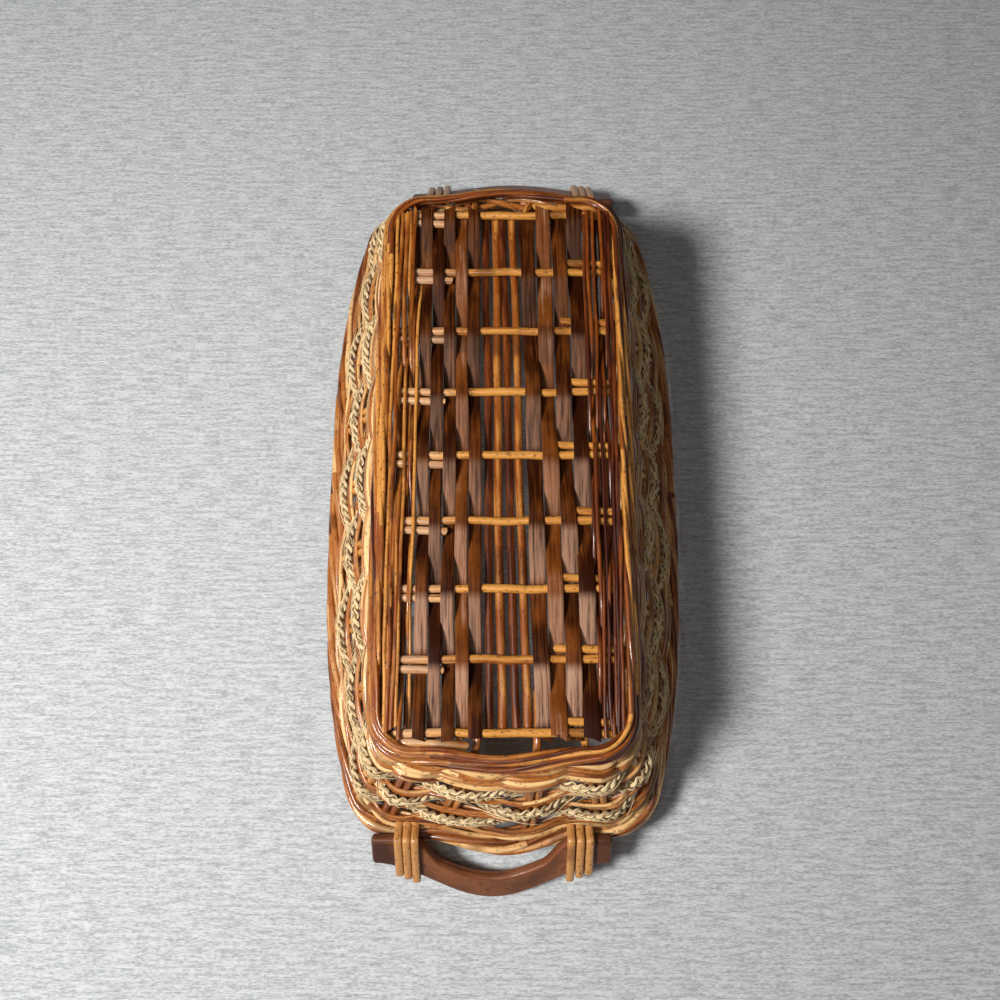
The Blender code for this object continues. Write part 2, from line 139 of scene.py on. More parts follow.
class WickerColours(PropertyGroup):
    """Colours of the basket's stuff and of the floor."""

    cane_dark: colour("Cane, dark", (0.050, 0.007, 0.0012), "Varnish pooled on the shaded side")
    cane_mid: colour("Cane, middle", (0.27, 0.060, 0.006), "Red-brown of the varnished cane")
    cane_light: colour("Cane, light", (0.74, 0.32, 0.062), "Golden orange of the palest cane")
    weaver_dark: colour("Weaver, dark", (0.075, 0.011, 0.0015), "Shaded pale cane")
    weaver_mid: colour("Weaver, middle", (0.46, 0.145, 0.025), "Most of the wall's cane")
    weaver_light: colour("Weaver, light", (0.95, 0.60, 0.25), "Straw-coloured cane")
    # Bare wood at cut ends, and also the painted highlight on the cross canes' -X ends over the base.
    cut_end_and_highlight: colour("Cut end", (0.72, 0.48, 0.31), "Bare wood where a cane is cut")
    splint_dark: colour("Splint, dark", (0.027, 0.0046, 0.0005), "Chocolate brown of the splints")
    splint_light: colour("Splint, light", (0.19, 0.050, 0.007), "Streaks in the splints")
    # Painted sheen on the splints' slopes that fall towards the near end; also their palest streaks
    # and the tint of their cut ends.
    splint_pale_and_sheen: colour("Splint, worn", (0.54, 0.30, 0.19), "Rubbed tan of a raised slope")
    seagrass_dark: colour("Seagrass, dark", (0.16, 0.065, 0.018), "Shaded blades of seagrass")
    seagrass_light: colour("Seagrass, light", (0.88, 0.68, 0.38), "Dry straw blades of seagrass")
    handle_dark: colour("Handle, dark", (0.062, 0.016, 0.005), "Pores and stained end grain")
    # Also the colour the board turns towards over its feet.
    handle_light: colour("Handle, light", (0.31, 0.099, 0.029), "Stained red-brown board")
    lashing_dark: colour("Lashing, dark", (0.20, 0.058, 0.010), "Shaded lashing cane")
    lashing_light: colour("Lashing, light", (0.62, 0.285, 0.083), "Pale lashing cane")
    floor_pale: colour("Floor, pale", (0.70, 0.71, 0.71), "Pale yarn of the floor cloth")
    floor_dark: colour("Floor, dark", (0.37, 0.38, 0.385), "Dark yarn of the floor cloth")


def sizes():
    return bpy.context.scene.wicker_sizes


def colours():
    return bpy.context.scene.wicker_colours


# The lanes across the base, from -X to +X.
LANE_ORDER = (
    "edge edge edge narrow narrow narrow narrow narrow rod rod "
    "rod rod splint splint splint splint edge edge edge"
).split()
# Each end stake's shares of the base's and the rim's width, at the near end.
END_STAKE_SHARES = ((-0.34, -0.352), (-0.107, -0.195), (0.14, 0.05), (0.33, 0.27))
# Distances down the wall from the base edge. A braid also has the side of its first stake pair.
BRAIDS = ((0.0442, -1), (0.0604, 1), (0.0766, -1))
UPSET_PLACES = (0.0128, 0.0202)
WEAVER_PLACES = (0.0257, 0.0309, 0.0361, 0.0523, 0.0685, 0.0862)
FOOT_PLACE = 0.0930
# Room between strands that pass each other.
PLAY = 0.0003
# Shares of the wall at which stakes have turned down onto it.
STAKE_START = 0.07
END_STAKE_START = 0.12
END_BYSTAKE_START = 0.13


def rim_height():
    """Height of the rim's centre line over the floor that the bows stand on."""
    s = sizes()
    out = s.handle_rim_place * math.sin(s.handle_lean)
    return out - (s.rim_radius + s.handle_seat) * math.cos(s.handle_lean)


def base_height():
    return rim_height() + sizes().wall_drop


class Plan:
    """The plan of the base edge or of the rim, as a closed line.

    A quarter of it is a long side whose half width falls by the cube of the way along it, an arc at
    the corner, and half a short end that bows out by a squared cosine.
    """

    def __init__(self, half_width, half_length, corner, side_bow, end_bow, bowed, height):
        self.half_width = half_width
        self.half_length = half_length
        self.corner = corner
        self.side_bow = side_bow
        self.end_bow = end_bow
        self.bowed = bowed
        self.height = height
        self.start_angle = math.atan2(3 * side_bow, half_length)
        self.corner_x = half_width - side_bow - corner * math.cos(self.start_angle)
        self.corner_y = half_length - corner
        self.side = self.corner_y + corner * math.sin(self.start_angle)
        self.bend = corner * (math.pi / 2 - self.start_angle)
        self.quarter = self.side + self.bend + self.corner_x

    def points(self, turns):
        """Points at turns, in quarter turns from the middle of the +X side towards +Y."""
        turns = np.asarray(turns, float)
        quadrant = np.floor(turns)
        along = turns - quadrant
        run = np.where(quadrant % 2 == 1, 1 - along, along) * self.quarter
        on_side = run < self.side
        on_arc = run < self.side + self.bend
        angle = self.start_angle + (run - self.side) / self.corner
        side_x = self.half_width - self.side_bow * (np.minimum(run, self.side) / self.side) ** 3
        arc_x = self.corner_x + self.corner * np.cos(angle)
        arc_y = self.corner_y + self.corner * np.sin(angle)
        x = np.where(on_side, side_x, np.where(on_arc, arc_x, self.quarter - run))
        y = np.where(on_side, run, np.where(on_arc, arc_y, self.half_length))
        reach = self.corner_x * self.bowed
        bow = self.end_bow * np.cos(math.pi / 2 * np.clip(x / reach, 0, 1)) ** 2
        y = np.where(on_arc, y, y + bow)
        x = np.where(np.isin(quadrant % 4, (0, 3)), x, -x)
        y = np.where(np.isin(quadrant % 4, (0, 1)), y, -y)
        return np.stack([x, y, np.full_like(x, self.height)], -1)

    def side_turn(self, y):
        """The share of a quarter turn at which the line passes a distance y from its middle."""
        if y <= self.side:
            return y / self.quarter
        angle = math.asin((y - self.corner_y) / self.corner)
        return (self.side + (angle - self.start_angle) * self.corner) / self.quarter


def base_plan():
    s = sizes()
    return Plan(
        s.base_width / 2,
        s.base_length / 2,
        s.base_corner,
        s.base_side_bow,
        s.base_end_bow,
        s.base_bowed,
        base_height(),
    )


def rim_plan():
    s = sizes()
    return Plan(
        s.base_width / 2 + s.side_flare,
        s.base_length / 2 + s.end_flare,
        s.rim_corner,
        s.rim_side_bow,
        s.rim_end_bow,
        s.rim_bowed,
        rim_height(),
    )


def wall_length():
    return math.hypot(sizes().end_flare, sizes().wall_drop)


def rows():
    """The cross stakes' places along the basket, from the far end to the near end."""
    s = sizes()
    half = s.base_length / 2 - s.row_margin
    return np.linspace(half, -half, s.row_count)


def lane_places(*kinds):
    """The centres and widths of all lanes of some kinds across the base, from -X to +X."""
    s = sizes()
    widths = {
        "edge": 2 * s.rod_radius,
        "rod": 2 * s.rod_radius,
        "splint": s.splint_width,
        "narrow": s.splint_width * s.narrow_share,
    }
    x = s.lane_margin - s.base_width / 2
    places = []
    for found, after in zip(LANE_ORDER, (*LANE_ORDER[1:], "edge")):
        if found in kinds:
            places.append((x + widths[found] / 2, widths[found]))
        x += widths[found] + (s.rod_gap if "rod" in (found, after) else s.lane_gap)
    return places


def side_turns(y):
    """A cross stake's turns at the base edge and the rim, on the +X side and on the -X side."""
    place = math.copysign(base_plan().side_turn(abs(y)), y)
    rim_turn = place * sizes().side_gather
    return (place % 4, rim_turn % 4), (2 - place, 2 - rim_turn)


def end_turns(shares, end):
    """The turns of an end stake that stands at these shares of the base's and the rim's width from
    the middle, at the near end (-1). The far end (1) is the near one turned half round."""
    s, base, rim = sizes(), base_plan(), rim_plan()
    x, rim_x = shares[0] * s.base_width, shares[1] * (s.base_width + 2 * s.side_flare)
    return 2 - end + x / base.quarter, 2 - end + rim_x / rim.quarter


def stakes_in_order():
    """Base turns and rim turns of all wall stakes, in order round the basket."""
    stakes = [turns for y in rows() for turns in side_turns(float(y))]
    stakes += [end_turns(shares, end) for shares in END_STAKE_SHARES for end in (1, -1)]
    return np.array(sorted(stakes)).T


def wall_points(base_turns, rim_turns, places, lifts=0.0):
    """Points on the wall: on the straight line from the base edge to the rim, a distance down it,
    then lifted off the wall along the cross product of that line and the way round the wall."""
    base, rim = base_plan(), rim_plan()
    rise = np.asarray(places / wall_length())[..., None]
    nudge = 1e-4
    top, foot = base.points(base_turns), rim.points(rim_turns)
    onward = (base.points(base_turns + nudge) - base.points(base_turns - nudge)) * (1 - rise)
    onward += (rim.points(rim_turns + nudge) - rim.points(rim_turns - nudge)) * rise
    outward = np.cross(foot - top, onward)
    outward /= np.linalg.norm(outward, axis=-1, keepdims=True)
    return top + (foot - top) * rise + outward * np.asarray(lifts)[..., None], outward


def stake_line(turns, along, places):
    """Points straight down the wall, along one stake or, shifted along, its by-stake."""
    base_turns = np.full(len(places), turns[0] + along / base_plan().quarter)
    rim_turns = np.full(len(places), turns[1] + along / rim_plan().quarter)
    return wall_points(base_turns, rim_turns, np.asarray(places, float))[0]


def ring_points(stations, places, lifts):
    """Points round the wall, where station 0, 1, 2 are the middles of the stake pairs in order.
    Turns between two pairs are mixed evenly."""
    base_turns, rim_turns = stakes_in_order()
    half_pitch = sizes().pair_pitch / 2
    base_turns = base_turns + half_pitch / base_plan().quarter
    rim_turns = rim_turns + half_pitch / rim_plan().quarter
    count = len(base_turns)
    numbers = np.arange(-1, count + 2)
    laps = 4 * (numbers // count)
    wrapped = stations % count
    return wall_points(
        np.interp(wrapped, numbers, base_turns[numbers % count] + laps),
        np.interp(wrapped, numbers, rim_turns[numbers % count] + laps),
        places,
        lifts,
    )


def eased(values, flat=0.05):
    """A step from 0 to 1 that stays flat at both ends and follows half a cosine in between."""
    inner = np.clip((values - flat) / (1 - 2 * flat), 0, 1)
    return (1 - np.cos(math.pi * inner)) / 2


def weave(stations, sides):
    """Over (1) and under (-1): the side of each whole station, with eased steps between."""
    whole = np.floor(stations).astype(int)
    start = sides[whole % len(sides)]
    end = sides[(whole + 1) % len(sides)]
    return start + (end - start) * eased(stations - whole)


def wander(lengths, amount, rng, wave=0.06):
    """A slow unevenness: three sines of unlike wave lengths and random phase, added up."""
    made = np.zeros(len(lengths))
    for k in (1.0, 1.7, 2.9):
        made += np.sin(2 * math.pi * k * lengths / wave + rng.uniform(0, 2 * math.pi)) / k
    return made * amount / 2


def round_wander(stations, amount, rng):
    """An unevenness that closes on itself: sines with whole numbers of waves round the ring."""
    count = len(stakes_in_order()[0])
    made = np.zeros(len(stations))
    for waves in (5, 11, 23):
        made += np.sin(2 * math.pi * waves * stations / count + rng.uniform(0, 2 * math.pi))
    return made * amount / 3


def run_lengths(path):
    """The way gone along a path at each of its points."""
    steps = np.linalg.norm(np.diff(path, axis=0), axis=1)
    return np.concatenate([[0], np.cumsum(steps)])


def rounded(corners, radius, step=0.0012):
    """A path through straight runs with its corners softened: points at even steps along the runs,
    averaged over a raised-cosine window as wide as two radii. The ends stay where they are."""
    corners = np.asarray(corners, float)
    runs = run_lengths(corners)
    count = max(int(runs[-1] / step), 4)
    at = np.linspace(0, runs[-1], count)
    path = np.stack([np.interp(at, runs, corners[:, axis]) for axis in range(3)], -1)
    reach = max(min(int(radius / step), count // 2 - 1), 1)
    window = np.hanning(2 * reach + 3)[1:-1]
    window /= window.sum()
    before = 2 * path[0] - path[reach:0:-1]
    after = 2 * path[-1] - path[-2 : -2 - reach : -1]
    long = np.concatenate([before, path, after])
    return np.stack([np.convolve(long[:, axis], window, "valid") for axis in range(3)], -1)


def frames_along(path, towards, closed):
    """At each point of a path: its unit tangent, the unit part of a guide direction square to it,
    and the cross product of the two."""
    if closed:
        tangents = np.roll(path, -1, 0) - np.roll(path, 1, 0)
    else:
        tangents = np.gradient(path, axis=0)
    tangents /= np.linalg.norm(tangents, axis=1, keepdims=True)
    up = np.broadcast_to(np.asarray(towards, float), path.shape)
    up = up - tangents * np.sum(up * tangents, 1, keepdims=True)
    up = up / np.linalg.norm(up, axis=1, keepdims=True)
    return tangents, up, np.cross(up, tangents)


def strand(
    path,
    towards,
    half_width,
    half_height,
    tone,
    sides=8,
    closed=False,
    box=1.0,
    cut=(0, 0),
    cut_and_highlight=0.0,
):
    """A strand: an oval carried along a path, its height towards the guide direction.

    The oval's point at an angle is (cos, sin) with each taken to the power box, times the half
    sizes. An open strand ends in flat faces, which cut slants by shifting them along the strand.
    """
    tangents, up, across = frames_along(path, towards, closed)
    count = len(path)
    angles = 2 * math.pi * np.arange(sides) / sides
    wide = np.sign(np.cos(angles)) * np.abs(np.cos(angles)) ** box
    high = np.sign(np.sin(angles)) * np.abs(np.sin(angles)) ** box
    half_width = np.broadcast_to(half_width, count)[:, None, None]
    half_height = np.broadcast_to(half_height, count)[:, None, None]
    offsets = across[:, None] * wide[None, :, None] * half_width
    offsets = offsets + up[:, None] * high[None, :, None] * half_height
    points = path[:, None] + offsets
    if not closed:
        for end, slant in ((0, cut[0]), (-1, cut[1])):
            points[end] += tangents[end] * (wide * half_width[end, 0] * slant)[:, None]
    lengths = run_lengths(np.concatenate([path, path[:1]]) if closed else path)
    girth = float(np.mean(half_width) + np.mean(half_height)) * math.pi
    return skin(points, lengths, girth, tone, cut_and_highlight, closed)


def skin(points, lengths, girth, tone, cut_and_highlight, closed=False):
    """Faces over a grid of points, rows along a strand and columns round it. Its UV is the way
    along and the way round, in metres. An open strand's ends are closed to their middles."""
    count, sides = points.shape[:2]
    rows_from = np.arange(count if closed else count - 1)
    rows_to = (rows_from + 1) % count
    columns = np.arange(sides)
    next_columns = (columns + 1) % sides
    a = rows_from[:, None] * sides + columns
    b = rows_from[:, None] * sides + next_columns
    c = rows_to[:, None] * sides + next_columns
    d = rows_to[:, None] * sides + columns
    quads = np.stack([a, b, c, d], -1).reshape(-1, 4)
    u = np.broadcast_to(lengths[rows_from][:, None], a.shape)
    u_next = np.broadcast_to(lengths[rows_from + 1][:, None], a.shape)
    v = np.broadcast_to(columns * girth / sides, a.shape)
    v_next = v + girth / sides
    corners = [(u, v), (u, v_next), (u_next, v_next), (u_next, v)]
    uv = np.stack([np.stack(corner, -1) for corner in corners], 2).reshape(-1, 2)
    middles = points[[0, -1]].mean(1)
    points = points.reshape(-1, 3)
    # Per-point share of the cut colour: cut ends, painted highlight and painted sheen.
    cut_and_highlight_levels = np.full(len(points), cut_and_highlight) if np.isscalar(cut_and_highlight) else np.repeat(cut_and_highlight, sides)
    tones = np.full(len(points), tone) if np.isscalar(tone) else np.repeat(tone, sides)
    triangles = np.zeros((0, 3), int)
    if not closed:
        first, last = len(points), len(points) + 1
        ring = (count - 1) * sides
        start_fan = np.stack([np.full(sides, first), next_columns, columns], -1)
        end_fan = np.stack([np.full(sides, last), ring + columns, ring + next_columns], -1)
        triangles = np.concatenate([start_fan, end_fan])
        points = np.concatenate([points, middles])
        cut_and_highlight_levels = np.concatenate([cut_and_highlight_levels, [1.0, 1.0]])
        tones = np.concatenate([tones, tones[[0, -1]]])
        uv = np.concatenate([uv, np.zeros((len(triangles) * 3, 2))])
    return {
        "points": points,
        "quads": quads,
        "triangles": triangles,
        "uv": uv,
        "tone": tones,
        "cut_and_highlight": cut_and_highlight_levels,
    }


def add_piece(name, strands, material, body, nodes=(), sharp=math.radians(55)):
    """One object made of strands, riding on a body and standing for some of the plain solids."""
    counts = np.cumsum([0] + [len(s["points"]) for s in strands])
    quads = np.concatenate([s["quads"] + start for s, start in zip(strands, counts)])
    triangles = np.concatenate([s["triangles"] + start for s, start in zip(strands, counts)])
    uv = [s["uv"][: 4 * len(s["quads"])] for s in strands]
    uv += [s["uv"][4 * len(s["quads"]) :] for s in strands]
    mesh = bpy.data.meshes.new(name)
    points = np.concatenate([s["points"] for s in strands])
    mesh.from_pydata(points.tolist(), [], quads.tolist() + triangles.tolist())
    layer = mesh.uv_layers.new(name="UVMap")
    layer.data.foreach_set("uv", np.concatenate(uv).astype(np.float32).ravel())
    for key in ("tone", "cut_and_highlight"):
        attribute = mesh.attributes.new(key, "FLOAT", "POINT")
        values = np.concatenate([s[key] for s in strands])
        attribute.data.foreach_set("value", values.astype(np.float32))
    mesh.polygons.foreach_set("use_smooth", np.ones(len(mesh.polygons), bool))
    mesh.set_sharp_from_angle(angle=sharp)
    mesh.materials.append(material)
    made = bpy.data.objects.new(name, mesh)
    bpy.context.scene.collection.objects.link(made)
    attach(made, body)
    if nodes:
        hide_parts(*nodes)
    return made


def add_socket(group, name, kind, way="INPUT", default=None):
    made = group.interface.new_socket(name=name, in_out=way, socket_type=kind)
    if default is not None:
        made.default_value = default
    return made


class Nodes:
    """Short words for placing and linking the nodes of one tree."""

    def __init__(self, tree):
        self.tree = tree

    def add(self, kind, **inputs):
        """A node of a kind. A word with a value sets the socket or setting of that name."""
        made = self.tree.nodes.new(kind)
        for key, value in inputs.items():
            name = key.replace("_", " ")
            socket = next((i for i in made.inputs if i.name.lower() == name and i.enabled), None)
            if hasattr(made, key) and socket is None:
                setattr(made, key, value)
            elif isinstance(value, bpy.types.NodeSocket):
                self.tree.links.new(value, socket)
            else:
                socket.default_value = value
        return made

    def link(self, start, end):
        self.tree.links.new(start, end)

    def math(self, operation, a, b=0.0, clamp=False):
        made = self.tree.nodes.new("ShaderNodeMath")
        made.operation = operation
        made.use_clamp = clamp
        for socket, value in zip(made.inputs, (a, b)):
            if isinstance(value, bpy.types.NodeSocket):
                self.tree.links.new(value, socket)
            else:
                socket.default_value = value
        return made.outputs[0]

    def mix(self, factor, a, b, blend="MIX"):
        made = self.tree.nodes.new("ShaderNodeMix")
        made.data_type = "RGBA"
        made.blend_type = blend
        for socket, value in zip((made.inputs[0], made.inputs[6], made.inputs[7]), (factor, a, b)):
            if isinstance(value, bpy.types.NodeSocket):
                self.tree.links.new(value, socket)
            else:
                socket.default_value = value
        return made.outputs[2]

    def ramp(self, value, low, high):
        """A clamped step from 0 to 1 as value goes from low to high."""
        made = self.tree.nodes.new("ShaderNodeMapRange")
        made.interpolation_type = "SMOOTHSTEP"
        made.inputs["From Min"].default_value = low
        made.inputs["From Max"].default_value = high
        self.tree.links.new(value, made.inputs["Value"])
        return made.outputs["Result"]

    def noise(self, vector, scale, detail=3.0, roughness=0.55):
        made = self.tree.nodes.new("ShaderNodeTexNoise")
        made.inputs["Scale"].default_value = scale
        made.inputs["Detail"].default_value = detail
        made.inputs["Roughness"].default_value = roughness
        self.tree.links.new(vector, made.inputs["Vector"])
        return made.outputs["Fac"]

    def stretched(self, vector, scale):
        made = self.tree.nodes.new("ShaderNodeMapping")
        made.inputs["Scale"].default_value = scale
        self.tree.links.new(vector, made.inputs["Vector"])
        return made.outputs["Vector"]


def strand_grain_group():
    """Fine grain along a strand, from its UV map in metres: a long streak noise, a broad patch
    noise, sparse dark flecks and, at uneven distances, a knot's dark ring. The strand's tone moves
    them all to another part of the noise, so that no two strands are alike."""
    group = bpy.data.node_groups.get("Strand grain")
    if group:
        return group
    group = bpy.data.node_groups.new("Strand grain", "ShaderNodeTree")
    add_socket(group, "Streaks", "NodeSocketFloat", default=700.0)
    add_socket(group, "Along", "NodeSocketFloat", default=35.0)
    for name in ("Grain", "Patches", "Flecks", "Knots"):
        add_socket(group, name, "NodeSocketFloat", "OUTPUT")
    n = Nodes(group)
    given = group.nodes.new("NodeGroupInput")
    out = group.nodes.new("NodeGroupOutput")
    uv = n.add("ShaderNodeUVMap", uv_map="UVMap").outputs["UV"]
    tone = n.add("ShaderNodeAttribute", attribute_name="tone").outputs["Fac"]
    split = group.nodes.new("ShaderNodeSeparateXYZ")
    n.link(uv, split.inputs[0])
    offset = n.math("MULTIPLY", tone, 71.3)
    along, around = split.outputs["X"], split.outputs["Y"]

    def joined(x, y):
        made = group.nodes.new("ShaderNodeCombineXYZ")
        n.link(x, made.inputs["X"])
        n.link(y, made.inputs["Y"])
        n.link(offset, made.inputs["Z"])
        return made.outputs[0]

    streaks = joined(
        n.math("MULTIPLY", along, given.outputs["Along"]),
        n.math("MULTIPLY", around, given.outputs["Streaks"]),
    )
    n.link(n.noise(streaks, 1.0, 4.0, 0.6), out.inputs["Grain"])
    patches = joined(n.math("MULTIPLY", along, 30.0), n.math("MULTIPLY", around, 110.0))
    n.link(n.noise(patches, 1.0, 2.0), out.inputs["Patches"])
    flecks = joined(n.math("MULTIPLY", along, 330.0), n.math("MULTIPLY", around, 620.0))
    n.link(n.ramp(n.noise(flecks, 1.0, 1.0), 0.60, 0.68), out.inputs["Flecks"])
    knots = joined(n.math("MULTIPLY", along, 26.0), offset)
    n.link(n.ramp(n.noise(knots, 1.0, 0.0), 0.64, 0.70), out.inputs["Knots"])
    return group


def new_material(name, roughness, coat=0.0, coat_roughness=0.1, specular=0.5):
    """A material with a Principled BSDF, and the words for its nodes."""
    made = bpy.data.materials.new(name)
    made.use_nodes = True
    shader = made.node_tree.nodes["Principled BSDF"]
    shader.inputs["Roughness"].default_value = roughness
    shader.inputs["Coat Weight"].default_value = coat
    shader.inputs["Coat Roughness"].default_value = coat_roughness
    shader.inputs["Specular IOR Level"].default_value = specular
    return made, Nodes(made.node_tree), shader


def bump(n, shader, height, distance, strength=0.6):
    made = n.add("ShaderNodeBump")
    made.inputs["Strength"].default_value = strength
    made.inputs["Distance"].default_value = distance
    n.link(height, made.inputs["Height"])
    n.link(made.outputs["Normal"], shader.inputs["Normal"])


def opaque(values):
    return (*values, 1.0)


def strand_material(
    name, dark, mid, light, cut, spread, roughness, coat, streaks=700.0, flecks=0.6, specular=0.5
):
    """Varnished cane, splint or grass: three colours mixed by the strand's tone, moved up and down by
    patches and grain. Flecks and knots darken it. The cut colour shows bare wood at cut ends, and the
    same mask paints a highlight on the cross canes' -X ends and a sheen on the splints' slopes that
    fall towards the near end."""
    made, n, shader = new_material(name, roughness, coat, specular=specular)
    grain = made.node_tree.nodes.new("ShaderNodeGroup")
    grain.node_tree = strand_grain_group()
    grain.inputs["Streaks"].default_value = streaks
    tone = n.add("ShaderNodeAttribute", attribute_name="tone").outputs["Fac"]
    cut_and_highlight = n.add("ShaderNodeAttribute", attribute_name="cut_and_highlight").outputs["Fac"]
    moved = n.math("SUBTRACT", grain.outputs["Patches"], 0.5)
    moved = n.math("MULTIPLY", moved, spread)
    fine = n.math("MULTIPLY", n.math("SUBTRACT", grain.outputs["Grain"], 0.5), spread * 0.8)
    level = n.math("ADD", n.math("ADD", tone, moved), fine)
    low = n.mix(n.ramp(level, 0.0, 0.5), opaque(dark), opaque(mid))
    base = n.mix(n.ramp(level, 0.45, 1.0), low, opaque(light))
    base = n.mix(n.math("MULTIPLY", grain.outputs["Knots"], 0.55), base, opaque(dark))
    base = n.mix(n.math("MULTIPLY", grain.outputs["Flecks"], flecks), base, opaque(dark))
    # Mask for the cut colour: real cut ends, plus painted highlight and painted sheen.
    cut_and_highlight_mask = n.math("MULTIPLY", cut_and_highlight, n.ramp(grain.outputs["Grain"], 0.25, 0.6), clamp=True)
    base = n.mix(cut_and_highlight_mask, base, opaque(cut))
    n.link(base, shader.inputs["Base Color"])
    rough = n.math("MULTIPLY", n.math("ADD", grain.outputs["Grain"], 0.6), roughness)
    n.link(rough, shader.inputs["Roughness"])
    height = n.math("ADD", grain.outputs["Grain"], n.math("MULTIPLY", grain.outputs["Knots"], 0.8))
    bump(n, shader, height, 0.0004)
    return made


def cane_material(name="Varnished cane"):
    c = colours()
    return bpy.data.materials.get(name) or strand_material(
        name,
        c.cane_dark,
        c.cane_mid,
        c.cane_light,
        c.cut_end_and_highlight,
        spread=0.95,
        roughness=0.36,
        coat=0.5,
        specular=0.35,
    )


def weaver_material(name="Pale cane"):
    c = colours()
    return bpy.data.materials.get(name) or strand_material(
        name,
        c.weaver_dark,
        c.weaver_mid,
        c.weaver_light,
        c.cut_end_and_highlight,
        spread=0.9,
        roughness=0.36,
        coat=0.5,
        specular=0.35,
    )


def splint_material(name="Dark splint"):
    c = colours()
    return bpy.data.materials.get(name) or strand_material(
        name,
        c.splint_dark,
        c.splint_light,
        # The splints' palest tone. As the cut colour it is the painted sheen on near-falling slopes
        # and the tint of the cut ends.
        c.splint_pale_and_sheen,
        c.splint_pale_and_sheen,
        spread=1.1,
        roughness=0.5,
        coat=0.0,
        streaks=1500.0,
        flecks=0.3,
        specular=0.09,
    )


def seagrass_material(name="Plaited seagrass"):
    c = colours()
    return bpy.data.materials.get(name) or strand_material(
        name,
        c.seagrass_dark,
        c.seagrass_light,
        c.seagrass_light,
        c.seagrass_light,
        spread=0.6,
        roughness=0.55,
        coat=0.1,
        streaks=2500.0,
        flecks=0.2,
    )


def lashing_material(name="Lashing cane"):
    c = colours()
    return bpy.data.materials.get(name) or strand_material(
        name,
        c.lashing_dark,
        c.lashing_light,
        c.lashing_light,
        c.cut_end_and_highlight,
        spread=0.9,
        roughness=0.42,
        coat=0.3,
        streaks=900.0,
        flecks=0.85,
    )


def handle_material(name="Handle wood"):
    """Stained wood: fine pores and growth bands along the board, darker towards its ends."""
    made = bpy.data.materials.get(name)
    if made:
        return made
    c = colours()
    made, n, shader = new_material(name, 0.5, 0.15)
    uv = n.add("ShaderNodeUVMap", uv_map="UVMap").outputs["UV"]
    bands = n.noise(n.stretched(uv, (9.0, 160.0, 1.0)), 1.0, 4.0, 0.6)
    pores = n.ramp(n.noise(n.stretched(uv, (150.0, 2400.0, 1.0)), 1.0, 2.0), 0.57, 0.70)
    patches = n.noise(n.stretched(uv, (40.0, 60.0, 1.0)), 1.0, 2.0)
    level = n.math("ADD", n.math("MULTIPLY", bands, 0.7), n.math("MULTIPLY", patches, 0.3))
    tone = n.add("ShaderNodeAttribute", attribute_name="tone").outputs["Fac"]
    level = n.math("ADD", level, n.math("MULTIPLY", tone, 0.16))
    base = n.mix(n.ramp(level, 0.44, 0.78), opaque(c.handle_dark), opaque(c.handle_light))
    base = n.mix(n.math("MULTIPLY", pores, 0.75), base, opaque(c.handle_dark))
    n.link(base, shader.inputs["Base Color"])
    bump(n, shader, n.math("SUBTRACT", bands, n.math("MULTIPLY", pores, 0.6)), 0.0004)
    return made


def floor_material(name="Heather cloth"):
    """Pale knitted cloth: long thin flecks of darker yarn across, with a fine ribbed bump."""
    made = bpy.data.materials.get(name)
    if made:
        return made
    c = colours()
    made, n, shader = new_material(name, 0.95, 0.0, specular=0.2)
    place = n.add("ShaderNodeTexCoord").outputs["Object"]
    flecks = n.noise(n.stretched(place, (260.0, 1000.0, 1.0)), 1.0, 4.0, 0.8)
    streaks = n.noise(n.stretched(place, (55.0, 420.0, 1.0)), 1.0, 3.0, 0.6)
    level = n.math("ADD", n.math("MULTIPLY", flecks, 0.65), n.math("MULTIPLY", streaks, 0.35))
    base = n.mix(n.ramp(level, 0.38, 0.60), opaque(c.floor_dark), opaque(c.floor_pale))
    n.link(base, shader.inputs["Base Color"])
    bump(n, shader, level, 0.0006, 0.35)
    return made


def stake_top_place():
    """Where a stake ends, inside the border: about a third of its radius short of its middle."""
    return wall_length() - 0.35 * sizes().rim_radius


def painted_end_highlight(path, most):
    """Painted highlight on a cross cane: paler by eased steps near the base's -X edge, the side the
    key light comes from, on its top over the base.
    """
    across = np.clip((-path[:, 0] - 0.020) / 0.030, 0, 1)
    above = np.clip((path[:, 2] - base_height() + 0.006) / 0.005, 0, 1)
    return most * across**2 * (3 - 2 * across) * above


